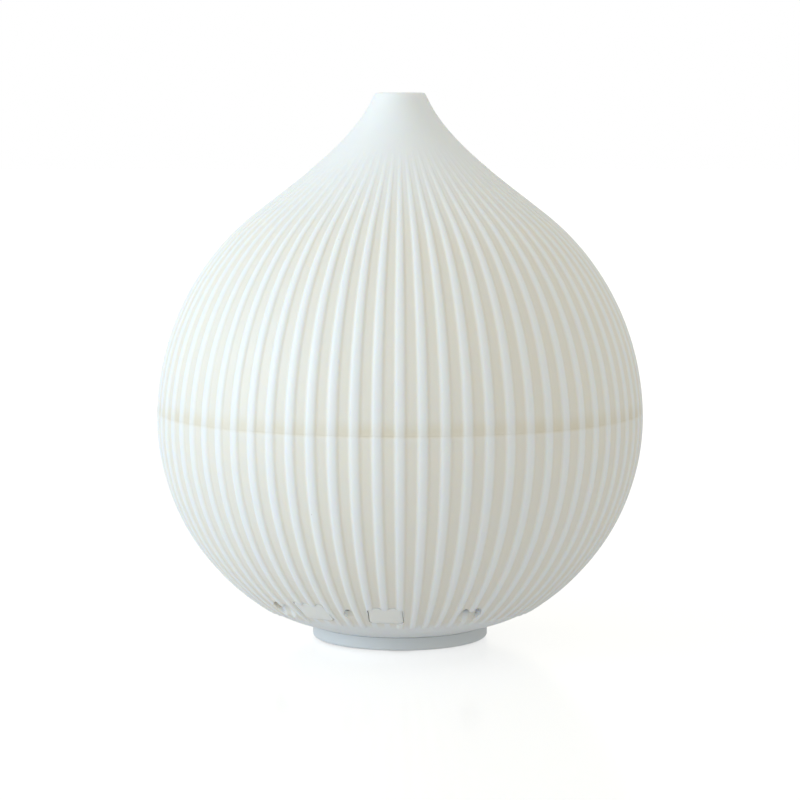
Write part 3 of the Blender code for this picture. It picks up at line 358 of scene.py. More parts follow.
def rounded(points, radius, steps=4):
    """A closed section with each corner rounded. A point may carry its own radius as a third value."""
    result = []
    count = len(points)
    for n in range(count):
        before, here, after = (np.array(points[(n + k) % count][:2]) for k in (-1, 0, 1))
        size = points[n][2] if len(points[n]) > 2 else radius
        back, on = heading(here, before), heading(here, after)
        opening = math.acos(float(np.clip(np.dot(back, on), -1, 1)))
        if size == 0 or opening > math.radians(170):
            result.append(tuple(here))
            continue
        reach = size / math.tan(opening / 2)
        room = 0.49 * min(np.linalg.norm(before - here), np.linalg.norm(after - here))
        reach = min(reach, room)
        size = reach * math.tan(opening / 2)
        bisector = (back + on) / np.linalg.norm(back + on)
        centre = here + bisector * size / math.sin(opening / 2)
        start, end = here + back * reach - centre, here + on * reach - centre
        sweep_angle = math.pi - opening
        side = np.sign(start[0] * end[1] - start[1] * end[0])
        for k in range(steps + 1):
            turn = side * sweep_angle * k / steps
            cos, sin = math.cos(turn), math.sin(turn)
            arm = np.array([cos * start[0] - sin * start[1], sin * start[0] + cos * start[1]])
            result.append(tuple(centre + arm))
    return result


def turned(name, points, columns=ROUND_COLUMNS, centre=(0, 0, 0)):
    """A body turned about a vertical axis from a closed section of (radius, z)."""
    turns = np.linspace(0, 2 * math.pi, columns, endpoint=False)
    rings = []
    for radius, z in points:
        count = turns if radius > 1e-7 else np.zeros(1)
        rings.append(ring_points(max(radius, 0), z, count) + np.array(centre))
    faces, starts = [], np.cumsum([0] + [len(ring) for ring in rings])
    for n in range(len(rings)):
        after = (n + 1) % len(rings)
        if len(rings[n]) == 1 and len(rings[after]) == 1:
            continue
        faces += bridge_rings(starts[n], len(rings[n]), starts[after], len(rings[after]))
    mesh = bpy.data.meshes.new(name)
    mesh.from_pydata(np.concatenate(rings).tolist(), [], faces)
    return finish_mesh(mesh)


def prism(name, bottom, top):
    """A closed body between two outlines with the same number of points."""
    count = len(bottom)
    faces = [list(range(count))[::-1], [count + n for n in range(count)]]
    faces += [[n, (n + 1) % count, count + (n + 1) % count, count + n] for n in range(count)]
    mesh = bpy.data.meshes.new(name)
    mesh.from_pydata([tuple(p) for p in (*bottom, *top)], [], faces)
    return finish_mesh(mesh)


def joined(name, meshes):
    """One mesh from several that stay clear of each other."""
    bm = bmesh.new()
    for mesh in meshes:
        bm.from_mesh(mesh)
    mesh = bpy.data.meshes.new(name)
    bm.to_mesh(mesh)
    bm.free()
    return mesh


def boolean(thing, operation, mesh):
    """Adds or cuts a mesh and keeps the result."""
    tool = put(thing.name + "_tool", mesh)
    modifier = thing.modifiers.new("tool", "BOOLEAN")
    modifier.operation = operation
    modifier.solver = "EXACT"
    modifier.object = tool
    graph = bpy.context.evaluated_depsgraph_get()
    result = bpy.data.meshes.new_from_object(thing.evaluated_get(graph))
    thing.modifiers.clear()
    thing.data = result
    bpy.data.objects.remove(tool)
    result.shade_smooth()
    result.set_sharp_from_angle(angle=SHARP_TURN)


def rod(radius, start, end, columns=24):
    """A cylinder between two points."""
    start, end = Vector(start), Vector(end)
    turn = (end - start).to_track_quat("Z", "Y").to_matrix().to_4x4()
    bm = bmesh.new()
    bmesh.ops.create_cone(
        bm, cap_ends=True, segments=columns, radius1=radius, radius2=radius,
        depth=(end - start).length, matrix=Matrix.Translation((start + end) / 2) @ turn,
    )
    mesh = bpy.data.meshes.new("rod")
    bm.to_mesh(mesh)
    bm.free()
    return mesh


def box_mesh(size, centre):
    bm = bmesh.new()
    bmesh.ops.create_cube(bm, size=1, matrix=Matrix.Translation(centre) @ Matrix.Diagonal((*size, 1)))
    mesh = bpy.data.meshes.new("box")
    bm.to_mesh(mesh)
    bm.free()
    return mesh


def finished(thing, body, material, slot, *nodes):
    """A finished piece: its material, the body that it rides on and the nodes it stands for."""
    thing.data.materials.clear()
    thing.data.materials.append(material)
    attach(thing, body)
    if nodes:
        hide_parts(*nodes)
    return thing


# ---------------------------------------------------------------- materials


class Nodes:
    """A material's node tree, with short ways to add a node and link it."""

    def __init__(self, name):
        self.material = bpy.data.materials.new(name)
        self.material.use_nodes = True
        self.tree = self.material.node_tree
        self.shader = self.tree.nodes["Principled BSDF"]
        self.place = self.add("ShaderNodeTexCoord").outputs["Object"]

    def add(self, kind, **settings):
        node = self.tree.nodes.new(kind)
        for key, value in settings.items():
            setattr(node, key, value)
        return node

    def feed(self, node, values):
        for key, value in values.items():
            socket = node.inputs[key]
            if isinstance(value, bpy.types.NodeSocket):
                self.tree.links.new(value, socket)
            else:
                socket.default_value = value

    def noise(self, scale, detail=3.0, roughness=0.5, vector=None):
        node = self.add("ShaderNodeTexNoise")
        self.feed(node, {"Scale": scale, "Detail": detail, "Roughness": roughness,
                         "Vector": vector or self.place})
        return node.outputs["Fac"]

    def maths(self, operation, one, two=0.0):
        node = self.add("ShaderNodeMath", operation=operation)
        self.feed(node, {0: one, 1: two})
        return node.outputs[0]

    def remap(self, value, low, high, to_low, to_high, kind="LINEAR"):
        node = self.add("ShaderNodeMapRange", interpolation_type=kind)
        self.feed(node, {"Value": value, "From Min": low, "From Max": high,
                         "To Min": to_low, "To Max": to_high})
        return node.outputs["Result"]

    def mix(self, factor, one, two):
        node = self.add("ShaderNodeMix", data_type="RGBA")
        self.feed(node, {0: factor, 6: one, 7: two})
        return node.outputs[2]

    def bump(self, height, distance, strength=1.0, normal=None):
        node = self.add("ShaderNodeBump")
        values = {"Height": height, "Distance": distance, "Strength": strength}
        if normal is not None:
            values["Normal"] = normal
        self.feed(node, values)
        return node.outputs["Normal"]

    def set(self, **values):
        self.feed(self.shader, {key.replace("_", " "): value for key, value in values.items()})


def rgb(red, green, blue):
    return (red, green, blue, 1.0)


def moulded(name, colour, shade, roughness=0.4, grain=1600.0, glow=0.0, glow_depth=0.002):
    """A moulded plastic: a faint drift of colour, a fine even texture and a soft scatter."""
    nodes = Nodes(name)
    drift = nodes.noise(28.0, 4.0, 0.55)
    fine = nodes.noise(grain, 2.0, 0.6)
    nodes.set(
        Base_Color=nodes.mix(nodes.remap(drift, 0.3, 0.7, 0, 1), rgb(*colour), rgb(*shade)),
        Roughness=nodes.remap(nodes.noise(220.0, 3.0), 0.25, 0.75, roughness - 0.05, roughness + 0.06),
        Normal=nodes.bump(fine, 0.00002, 0.5),
    )
    nodes.set(Subsurface_Weight=glow, Subsurface_Scale=glow_depth, IOR=1.46)
    nodes.shader.inputs["Subsurface Radius"].default_value = (1.0, 0.82, 0.62)
    return nodes.material


def ribbed_white():
    """The case: milky satin plastic with painted light in its colour: a cool painted highlight on the rib
    crests, a warm painted shade in the grooves and a painted shadow in a band at the seam.
    """
    nodes = Nodes("case_white")
    split = nodes.add("ShaderNodeSeparateXYZ")
    nodes.feed(split, {0: nodes.place})
    x, y, z = split.outputs
    turn = nodes.maths("ARCTAN2", x, nodes.maths("MULTIPLY", y, -1.0))
    phase = nodes.maths("WRAP", nodes.maths("MULTIPLY", turn, RIB_COUNT / (2 * math.pi)), 0.5)
    phase.node.inputs[2].default_value = -0.5
    groove = nodes.remap(nodes.maths("ABSOLUTE", phase), RIB_FLAT, RIB_FOOT, 0, 1, "SMOOTHSTEP")
    high = nodes.remap(z, RIB_TOP_Z - RIB_FADE, RIB_TOP_Z, 1, 0, "SMOOTHSTEP")
    low = nodes.remap(z, RIB_END_Z, RIB_END_Z + 2 * RIB_END_ROUND, 0, 1, "SMOOTHSTEP")
    groove = nodes.maths("MULTIPLY", groove, nodes.maths("MULTIPLY", high, low))
    drift = nodes.noise(16.0, 3.0, 0.5)
    # Painted light: the warm mix is painted shade in the grooves and the cool mix is a painted highlight on
    # the rib crests, blended by the groove mask.
    painted_warm_groove_shade = nodes.mix(nodes.remap(drift, 0.3, 0.7, 0, 1), rgb(0.845, 0.815, 0.735), rgb(0.835, 0.810, 0.745))
    cool = nodes.mix(nodes.remap(drift, 0.3, 0.7, 0, 1), rgb(0.865, 0.885, 0.885), rgb(0.855, 0.880, 0.888))
    colour = nodes.mix(groove, cool, painted_warm_groove_shade)
    # Painted shadow: a warm brown band at the seam, reaching 6 mm above it and strongest in the grooves,
    # for the tank rim's shade seen through the thin wall.
    seam = (SEAM_TOP + SEAM_LOW) / 2
    below = nodes.remap(z, seam - 0.0012, seam, 0, 1, "SMOOTHSTEP")
    above = nodes.remap(z, seam, seam + 0.0060, 1, 0, "SMOOTHSTEP")
    seam_painted_shadow = nodes.maths("MULTIPLY", nodes.maths("MULTIPLY", below, above),
                        nodes.remap(nodes.noise(60.0, 3.0), 0.3, 0.7, 0.25, 0.60))
    seam_painted_shadow = nodes.maths("MULTIPLY", seam_painted_shadow, nodes.remap(groove, 0, 1, 0.35, 1.0))
    colour = nodes.mix(seam_painted_shadow, colour, rgb(0.72, 0.64, 0.46))
    specks = nodes.noise(900.0, 1.0)
    specks = nodes.remap(specks, 0.845, 0.865, 0, 0.5)
    colour = nodes.mix(specks, colour, rgb(0.42, 0.38, 0.30))
    fine = nodes.noise(1500.0, 2.0, 0.6)
    nodes.set(
        Base_Color=colour,
        Roughness=nodes.remap(nodes.noise(180.0, 3.0), 0.25, 0.75, 0.40, 0.50),
        Normal=nodes.bump(fine, 0.00002, 0.4),
        Subsurface_Weight=nodes.remap(nodes.maths("ABSOLUTE", nodes.maths("SUBTRACT", z, seam)),
                                      0.0004, 0.0022, 0.0, 0.75, "SMOOTHSTEP"),
        Subsurface_Scale=0.0022,
        IOR=1.46,
    )
    nodes.shader.inputs["Subsurface Radius"].default_value = (1.0, 0.85, 0.66)
    return nodes.material


def metal(name, colour, roughness=0.3, scale=(300.0, 300.0, 4000.0)):
    """A turned or drawn metal, with fine lines along its surface."""
    nodes = Nodes(name)
    stretch = nodes.add("ShaderNodeMapping")
    nodes.feed(stretch, {"Vector": nodes.place, "Scale": scale})
    lines = nodes.noise(1.0, 3.0, 0.6, stretch.outputs[0])
    dull = tuple(0.82 * part for part in colour)
    nodes.set(
        Base_Color=nodes.mix(nodes.remap(lines, 0.3, 0.7, 0, 1), rgb(*colour), rgb(*dull)),
        Roughness=nodes.remap(lines, 0.25, 0.75, roughness - 0.06, roughness + 0.12),
        Normal=nodes.bump(lines, 0.00001, 0.5),
        Metallic=1.0,
    )
    return nodes.material


def circuit_board():
    """Green solder mask over faint tracks, with a woven texture."""
    nodes = Nodes("board_green")
    brick = nodes.add("ShaderNodeTexBrick")
    nodes.feed(brick, {"Vector": nodes.place, "Scale": 420.0, "Mortar Size": 0.06,
                       "Color1": rgb(0.030, 0.200, 0.090), "Color2": rgb(0.025, 0.165, 0.075),
                       "Mortar": rgb(0.060, 0.300, 0.140)})
    weave = nodes.noise(2600.0, 2.0)
    nodes.set(
        Base_Color=brick.outputs["Color"],
        Roughness=nodes.remap(nodes.noise(400.0), 0.3, 0.7, 0.32, 0.48),
        Normal=nodes.bump(nodes.maths("ADD", brick.outputs["Fac"], weave), 0.00003, 0.6),
        Coat_Weight=0.3,
        Coat_Roughness=0.15,
    )
    return nodes.material


def windings():
    """Enamelled copper wire wound round an axis."""
    nodes = Nodes("copper")
    wave = nodes.add("ShaderNodeTexWave", wave_type="BANDS", bands_direction="Z")
    nodes.feed(wave, {"Vector": nodes.place, "Scale": 900.0, "Distortion": 0.6, "Detail": 2.0})
    nodes.set(
        Base_Color=nodes.mix(wave.outputs["Fac"], rgb(0.40, 0.14, 0.05), rgb(0.78, 0.37, 0.17)),
        Roughness=nodes.remap(wave.outputs["Fac"], 0, 1, 0.42, 0.26),
        Normal=nodes.bump(wave.outputs["Fac"], 0.00008),
        Metallic=1.0,
    )
    return nodes.material


def ceramic():
    """The ultrasonic disc: a fired, faintly speckled ceramic with a metal film."""
    nodes = Nodes("disc_ceramic")
    specks = nodes.noise(1400.0, 4.0, 0.7)
    nodes.set(
        Base_Color=nodes.mix(
            nodes.remap(specks, 0.35, 0.65, 0, 1), rgb(0.80, 0.77, 0.66), rgb(0.66, 0.61, 0.48)
        ),
        Roughness=nodes.remap(specks, 0.3, 0.7, 0.28, 0.44),
        Normal=nodes.bump(specks, 0.00002),
        Metallic=0.35,
    )
    return nodes.material


def clear_plastic():
    """The light guide: a slightly hazy clear plastic."""
    nodes = Nodes("lens_clear")
    haze = nodes.noise(500.0, 2.0)
    nodes.set(
        Base_Color=nodes.mix(haze, rgb(0.90, 0.94, 0.93), rgb(0.80, 0.88, 0.88)),
        Roughness=nodes.remap(haze, 0.3, 0.7, 0.08, 0.2),
        Transmission_Weight=0.7,
        IOR=1.49,
    )
    return nodes.material


def lamp():
    """A white lamp: yellow phosphor under a milky cap."""
    nodes = Nodes("led_white")
    cells = nodes.add("ShaderNodeTexVoronoi")
    nodes.feed(cells, {"Vector": nodes.place, "Scale": 900.0})
    nodes.set(
        Base_Color=nodes.mix(cells.outputs["Distance"], rgb(0.92, 0.86, 0.45), rgb(0.95, 0.93, 0.80)),
        Roughness=nodes.remap(cells.outputs["Distance"], 0, 1, 0.25, 0.45),
        Subsurface_Weight=0.3,
        Subsurface_Scale=0.001,
    )
    return nodes.material


MATERIALS = {
    "case_white": ribbed_white(),
    "foot_grey": moulded("foot_grey", (0.70, 0.735, 0.75), (0.68, 0.715, 0.735), 0.42, glow=0.25),
    "button_white": moulded("button_white", (0.90, 0.905, 0.865), (0.89, 0.89, 0.85), 0.42, glow=0.5),
    "tank_white": moulded("tank_white", (0.84, 0.865, 0.865), (0.82, 0.85, 0.855), 0.32, glow=0.6),
    "seal_silicone": moulded("seal_silicone", (0.74, 0.74, 0.71), (0.70, 0.70, 0.67), 0.6, 900.0, 0.4),
    "foot_rubber": moulded("foot_rubber", (0.045, 0.045, 0.048), (0.060, 0.060, 0.063), 0.78, 1100.0),
    "screw_steel": metal("screw_steel", (0.60, 0.60, 0.62)),
    "board_green": circuit_board(),
    "part_black": moulded("part_black", (0.022, 0.022, 0.024), (0.032, 0.032, 0.034), 0.45, 1300.0),
    "ferrite_grey": moulded("ferrite_grey", (0.075, 0.072, 0.070), (0.105, 0.100, 0.098), 0.75, 2200.0),
    "copper": windings(),
    "aluminium": metal("aluminium", (0.78, 0.79, 0.80), 0.36, (3000.0, 300.0, 300.0)),
    "disc_ceramic": ceramic(),
    "brass": metal("brass", (0.80, 0.60, 0.28), 0.28),
    "lens_clear": clear_plastic(),
    "led_white": lamp(),
}


# ---------------------------------------------------------------- case


def shell_ring(length, turns, depth):
    """A ring on the outside of the case, its grooves set in by a depth (one for each turn)."""
    point, normal = on_outline(length)
    return ring_points(point[0] - normal[0] * depth, point[1] - normal[1] * depth, turns)


def rim_rings(z, turns, side):
    """The rings of a small round on the seam's edge; side is 1 for a rim that faces down."""
    grooves = RIB_DEPTH * (1 - rib_height(turns))
    length = length_at(z)
    rings = []
    for step in (1.0, 0.5, 0.0):
        inset = EDGE * (1 - math.sqrt(1 - (1 - step) ** 2))
        rings.append(shell_ring(length + side * EDGE * step, turns, grooves + inset))
    return rings


def lip_points():
    """The rounded lip, from the outside over the top to the bore."""
    corner = np.array([LIP_RADIUS, HEIGHT])
    inner = inner_radius(HEIGHT - 2 * LIP_ROUND)
    wall = np.array([-math.sin(LIP_LEAN), math.cos(LIP_LEAN)])
    low = corner - wall * 3 * LIP_ROUND
    section = [tuple(low), (*corner, LIP_ROUND), (inner, HEIGHT, LIP_ROUND * 0.6), (inner, low[1])]
    return rounded(section, 0.0, 7)[1:-1]


def top_cover():
    """The upper half of the case."""
    turns = rib_turns()
    plain = np.linspace(0, 2 * math.pi, LINING_COLUMNS, endpoint=False)
    height = rib_height(turns)
    rings = rim_rings(SEAM_TOP, turns, 1)[::-1]
    start, stop = length_at(SEAM_TOP) + SEAM_EASE, length_at(HEIGHT - 3 * LIP_ROUND)
    for length in np.linspace(start, stop, 66):
        z = on_outline(length)[0][1]
        fade = float(smooth((RIB_TOP_Z - z) / RIB_FADE))
        rings.append(shell_ring(length, turns, RIB_DEPTH * fade * (1 - height)))
    lip = lip_points()
    outside = [point for point in lip if point[0] > LIP_RADIUS - LIP_ROUND]
    rings += [ring_points(radius, z, turns) for radius, z in outside]
    rings += [ring_points(radius, z, plain) for radius, z in lip[len(outside):]]
    for z in np.linspace(HEIGHT - 4 * LIP_ROUND, SEAM_TOP + 0.002, 50):
        rings.append(ring_points(inner_radius(z), z, plain))
    rings.append(ring_points(inner_radius(SEAM_TOP), SEAM_TOP, plain))
    cover = put("top_cover_shell", sweep("top_cover_shell", rings))
    return finished(cover, "top_cover", MATERIALS["case_white"], "case_white", "top_cover")


def scalloped(width, length, corner, turn, grow=0.0):
    """The outline of a button: square with round corners, its top edge fitted to the rib tips."""
    half = width / 2 + grow
    low, high = -length / 2 - grow, length / 2 + grow
    radius = outer_radius(BUTTON_Z + length / 3)
    points = []
    for quarter, (x, y) in enumerate([(1, -1), (1, 1), (-1, 1), (-1, -1)]):
        size = corner if y < 0 else corner * 0.6
        for step in range(7):
            angle = (quarter - 1 + step / 6) * math.pi / 2
            points.append([
                x * (half - size) + size * math.cos(angle),
                (low + size if y < 0 else high - size) + size * math.sin(angle),
            ])
        if quarter == 1:
            for x_top in np.linspace(half - size, -half + size, 41)[1:-1]:
                points.append([x_top, high])
    for point in points:
        if point[1] > high - corner * 0.7:
            phase = (turn + point[0] / radius) / RIB_TURN
            wave = math.cos(2 * math.pi * phase)
            point[1] -= BUTTON_SCALLOP * (0.5 + 0.5 * wave) ** 1.3 - BUTTON_SCALLOP * 0.45
    return points


def button_cutter(turn):
    place = wall_frame(turn, BUTTON_Z)
    edge = scalloped(BUTTON_WIDTH, BUTTON_LENGTH, BUTTON_CORNER, turn, BUTTON_GAP)
    reach = SHELL_WALL * 2.6
    bottom = [place @ Vector((x, y, -reach)) for x, y in edge]
    top = [place @ Vector((x, y, SHELL_WALL)) for x, y in edge]
    return prism("button_cutter", bottom, top)


def scoop_cutter(turn, z, width, length, depth, shallow):
    """A scoop, deepest under its scalloped top edge, that runs out to nothing below."""
    place = wall_frame(turn, z)
    radius = outer_radius(z + length / 3)
    half, top_y, low_y = width / 2, length / 2, -length / 2
    edge = []
    for step in range(33):
        t = -1 + 2 * step / 32
        x = half * t
        phase = (turn + x / radius) / RIB_TURN
        crest = (0.5 + 0.5 * math.cos(2 * math.pi * phase)) ** 1.3
        side = 1 - (1 - math.sqrt(max(1 - abs(t) ** 3.5, 0))) * 0.45
        edge.append((x, top_y * side - 0.0013 * crest))
    for step in range(1, 20):
        angle = math.pi * step / 20
        dip = math.sin(angle)
        edge.append((half * math.cos(angle), (low_y - 0.2 * top_y) * dip + 0.2 * top_y * (1 - dip)))
    floor, roof = [], []
    for x, y in edge:
        share = (y - low_y) / (top_y - low_y)
        floor.append(place @ Vector((x * 0.94, y, -depth * share - shallow)))
        roof.append(place @ Vector((x, y, 0.004)))
    return prism("scoop_cutter", floor, roof)


def lower_shell():
    """The lower half of the case, with its ribs, openings, screw holes and socket hole."""
    turns = rib_turns()
    plain = np.linspace(0, 2 * math.pi, LINING_COLUMNS, endpoint=False)
    height = rib_height(turns)
    fine_from, fine_to = length_at(0.0088), length_at(0.0205)
    lengths = np.concatenate([
        np.linspace(EDGE * 2, fine_from, 12, endpoint=False),
        np.linspace(fine_from, fine_to, 42, endpoint=False),
        np.linspace(fine_to, length_at(SEAM_LOW) - SEAM_EASE, 32),
    ])
    near_button = np.min([np.abs(turns - turn % (2 * math.pi)) for turn in BUTTON_TURNS.values()], axis=0)
    under_button = near_button < BUTTON_WIDTH * 0.62 / outer_radius(BUTTON_Z)
    rib_start = np.where(under_button, length_at(BUTTON_Z), length_at(RIB_END_Z))
    rings = []
    for length in lengths[::-1]:
        band = RIB_DEPTH * float(smooth(length / BAND_RISE))
        tip = np.clip((length - rib_start) / RIB_END_ROUND, 0, 1)
        rise = np.sqrt(1 - (1 - tip) ** 2)
        rings.append(shell_ring(length, turns, band - RIB_DEPTH * height * rise))
    rings = rim_rings(SEAM_LOW, turns, -1)[::-1] + rings
    ledge_radius = inner_radius(LEDGE_Z) - LEDGE_WIDTH
    rings.append(shell_ring(0.0, turns, 0.0001))
    section = [(HATCH_RADIUS, SHELL_FOOT), (HATCH_RADIUS, SHELL_FOOT + SHELL_WALL)]
    section += [(inner_radius(z), z) for z in np.linspace(SHELL_FOOT + SHELL_WALL, LEDGE_Z - 0.005, 24)]
    section += [(ledge_radius, LEDGE_Z - 0.002), (ledge_radius, LEDGE_Z), (inner_radius(LEDGE_Z), LEDGE_Z)]
    section += [(inner_radius(SEAM_LOW), SEAM_LOW)]
    rings += [ring_points(radius, z, plain) for radius, z in section]
    shell = put("lower_shell_body", sweep("lower_shell_body", rings))

    cutters = [button_cutter(turn) for turn in BUTTON_TURNS.values()]
    for n in range(INTAKE_COUNT):
        turn = INTAKE_TURN + n * 2 * math.pi / INTAKE_COUNT
        cutters.append(scoop_cutter(turn, INTAKE_Z, INTAKE_WIDTH, INTAKE_LENGTH, INTAKE_DEPTH, 0.0002))
    cutters.append(scoop_cutter(NOTCH_TURN, NOTCH_Z, *NOTCH_SIZE))
    lens = wall_frame(LENS_TURN, LENS_Z)
    cutters.append(rod(LENS_HOLE, lens @ Vector((0, 0, -0.0052)), lens @ Vector((0, 0, -0.0015))))
    socket = middle("dc_socket_pin")
    cutters.append(rod(SOCKET_HOLE, (0, socket.y - 0.004, socket.z), (0, BODY_RADIUS, socket.z), 48))
    for n in range(1, 5):
        spot = middle(f"base_screw_{n}")
        cutters.append(rod(SCREW_HOLE, (spot.x, spot.y, 0.002), (spot.x, spot.y, 0.0095)))
    for cutter in cutters:
        boolean(shell, "DIFFERENCE", cutter)
    return finished(shell, "base", MATERIALS["case_white"], "case_white", "lower_shell")


def button(name, turn):
    """A cap that follows the wall, with its collar behind and its stem."""
    place = wall_frame(turn, BUTTON_Z)
    edge = np.array(scalloped(BUTTON_WIDTH, BUTTON_LENGTH, BUTTON_CORNER, turn))
    centre = edge.mean(axis=0)
    inverse = place.inverted()

    def skin_height(x, y):
        """The wall's own height over its tangent plane."""
        z = BUTTON_Z + y * place.col[1][2]
        for _ in range(3):
            swing = x / outer_radius(z)
            local = inverse @ wall_point(turn + swing, z)
            z += (y - local.y) * place.col[1][2]
        return (inverse @ wall_point(turn + x / outer_radius(z), z)).z

    rings = []
    flange = SHELL_WALL + RIB_DEPTH + 0.0006
    rings.append([place @ Vector((x, y, -flange)) for x, y in edge])
    for step in range(6):
        angle = math.pi / 2 * step / 5
        inset = BUTTON_ROUND * (1 - math.cos(angle))
        drop = BUTTON_SUNK + BUTTON_ROUND * (1 - math.sin(angle))
        ring = []
        for x, y in edge:
            out = np.array([x, y]) - centre
            px, py = np.array([x, y]) - out / np.linalg.norm(out) * inset
            ring.append(place @ Vector((px, py, skin_height(px, py) - drop)))
        rings.append(ring)
    for share in (0.8, 0.6, 0.4, 0.2, 0.05):
        ring = []
        for x, y in edge:
            px, py = centre + (np.array([x, y]) - centre) * share * 0.93
            ring.append(place @ Vector((px, py, skin_height(px, py) - BUTTON_SUNK)))
        rings.append(ring)
    count = len(edge)
    points = [tuple(p) for ring in rings for p in ring]
    faces = [list(range(count))]
    for n in range(len(rings) - 1):
        faces += bridge_rings(n * count, count, (n + 1) * count, count)
    faces.append([(len(rings) - 1) * count + n for n in range(count)])
    mesh = bpy.data.meshes.new(f"{name}_cap")
    mesh.from_pydata(points, [], faces)
    cap = put(f"{name}_button_cap", finish_mesh(mesh))
    low = -flange - 0.0010
    wide = [place @ Vector((x * 1.17, y * 1.17, low)) for x, y in edge]
    back = [place @ Vector((x * 1.17, y * 1.17, -flange + 0.0001)) for x, y in edge]
    collar = prism("collar", wide, back)
    stem = rod(0.0018, place @ Vector((0, 0, low + 0.0005)), place @ Vector((0, 0, -0.0074)))
    boolean(cap, "UNION", collar)
    boolean(cap, "UNION", stem)
    body = f"{name}_button"
    return finished(cap, body, MATERIALS["button_white"], "button_white", body)


# ---------------------------------------------------------------- foot


def foot():
    """The round foot: a rim with soft edges, a plate with an air grille, and four standoffs."""
    low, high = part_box("base_plate")
    plate = 0.0027
    rim = FOOT_RADIUS - 0.0020
    section = rounded([
        (0, FOOT_TOP, 0),
        (FOOT_RADIUS, FOOT_TOP, 0.0003),
        (FOOT_RADIUS, low.z, 0.0011),
        (rim, low.z, 0.0004),
        (rim, plate, 0.0006),
        (0, plate, 0),
    ], 0.0003, 6)
    base = put("foot_base", turned("foot_base", section))
    posts, holes = [], []
    for n in range(1, 5):
        spot = middle(f"board_screw_{n}")
        posts.append(rod(STANDOFF_RADIUS, (spot.x, spot.y, 0.0035), (spot.x, spot.y, high.z)))
        holes.append(rod(SMALL_HOLE, (spot.x, spot.y, high.z - 0.005), (spot.x, spot.y, high.z + 0.001)))
        spot = middle(f"base_screw_{n}")
        holes.append(rod(SCREW_HOLE, (spot.x, spot.y, 0.001), (spot.x, spot.y, 0.006)))
    for n in range(SLOT_COUNT):
        holes.append(box_mesh(SLOT_SIZE, (0, (n - 2) * SLOT_PITCH, 0.0037)))
    boolean(base, "UNION", joined("posts", posts))
    boolean(base, "DIFFERENCE", joined("holes", holes))
    return finished(base, "base", MATERIALS["foot_grey"], "foot_grey", "base_plate")


def rubber_foot(number):
    node = f"rubber_foot_{number}"
    low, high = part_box(node)
    spot = middle(node)
    radius = (high.x - low.x) / 2
    section = [(0, high.z, 0), (radius, high.z, 0.0002), (radius, low.z, 0.0006), (0, low.z, 0)]
    section = rounded(section, 0, 4)
    pad = put(f"foot_pad_{number}", turned(f"foot_pad_{number}", section, 48, (spot.x, spot.y, 0)))
    return finished(pad, "base", MATERIALS["foot_rubber"], "foot_rubber", node)


def screw(node):
    """An upright pan-head screw with a cross recess and a threaded shank."""
    low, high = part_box(node)
    spot = middle(node)
    head = (high.x - low.x) / 2
    down = node.startswith(("base", "fan", "retainer"))
    length = high.z - low.z - HEAD_HEIGHT
    shank = 0.0014 if node.startswith("base") else 0.0009
    pitch = shank * 0.55
    rows = [(0, 0), (head * 0.62, 0), (head * 0.93, 0.0005), (head, 0.0009)]
    rows += [(head, HEAD_HEIGHT), (shank, HEAD_HEIGHT)]
    z = HEAD_HEIGHT + pitch
    while z < HEAD_HEIGHT + length - 2 * shank:
        rows += [(shank, z), (shank * 0.8, z + pitch / 2)]
        z += pitch
    rows += [(shank * 0.8, HEAD_HEIGHT + length - shank), (0, HEAD_HEIGHT + length)]
    if not down:
        rows = [(radius, -z) for radius, z in rows]
    start = low.z if down else high.z
    mesh = turned(node + "_turned", [(radius, z + start) for radius, z in rows], 32, (spot.x, spot.y, 0))
    thing = put(node + "_fine", mesh)
    sign = 1 if down else -1
    blades = [
        box_mesh((head * 1.1, head * 0.22, HEAD_HEIGHT), (spot.x, spot.y, start)),
        box_mesh((head * 0.22, head * 1.1, HEAD_HEIGHT + 0.0002 * sign), (spot.x, spot.y, start)),
    ]
    for blade in blades:
        boolean(thing, "DIFFERENCE", blade)
    return finished(thing, "base", MATERIALS["screw_steel"], "screw_steel", node)


# ---------------------------------------------------------------- tank, seal and cover


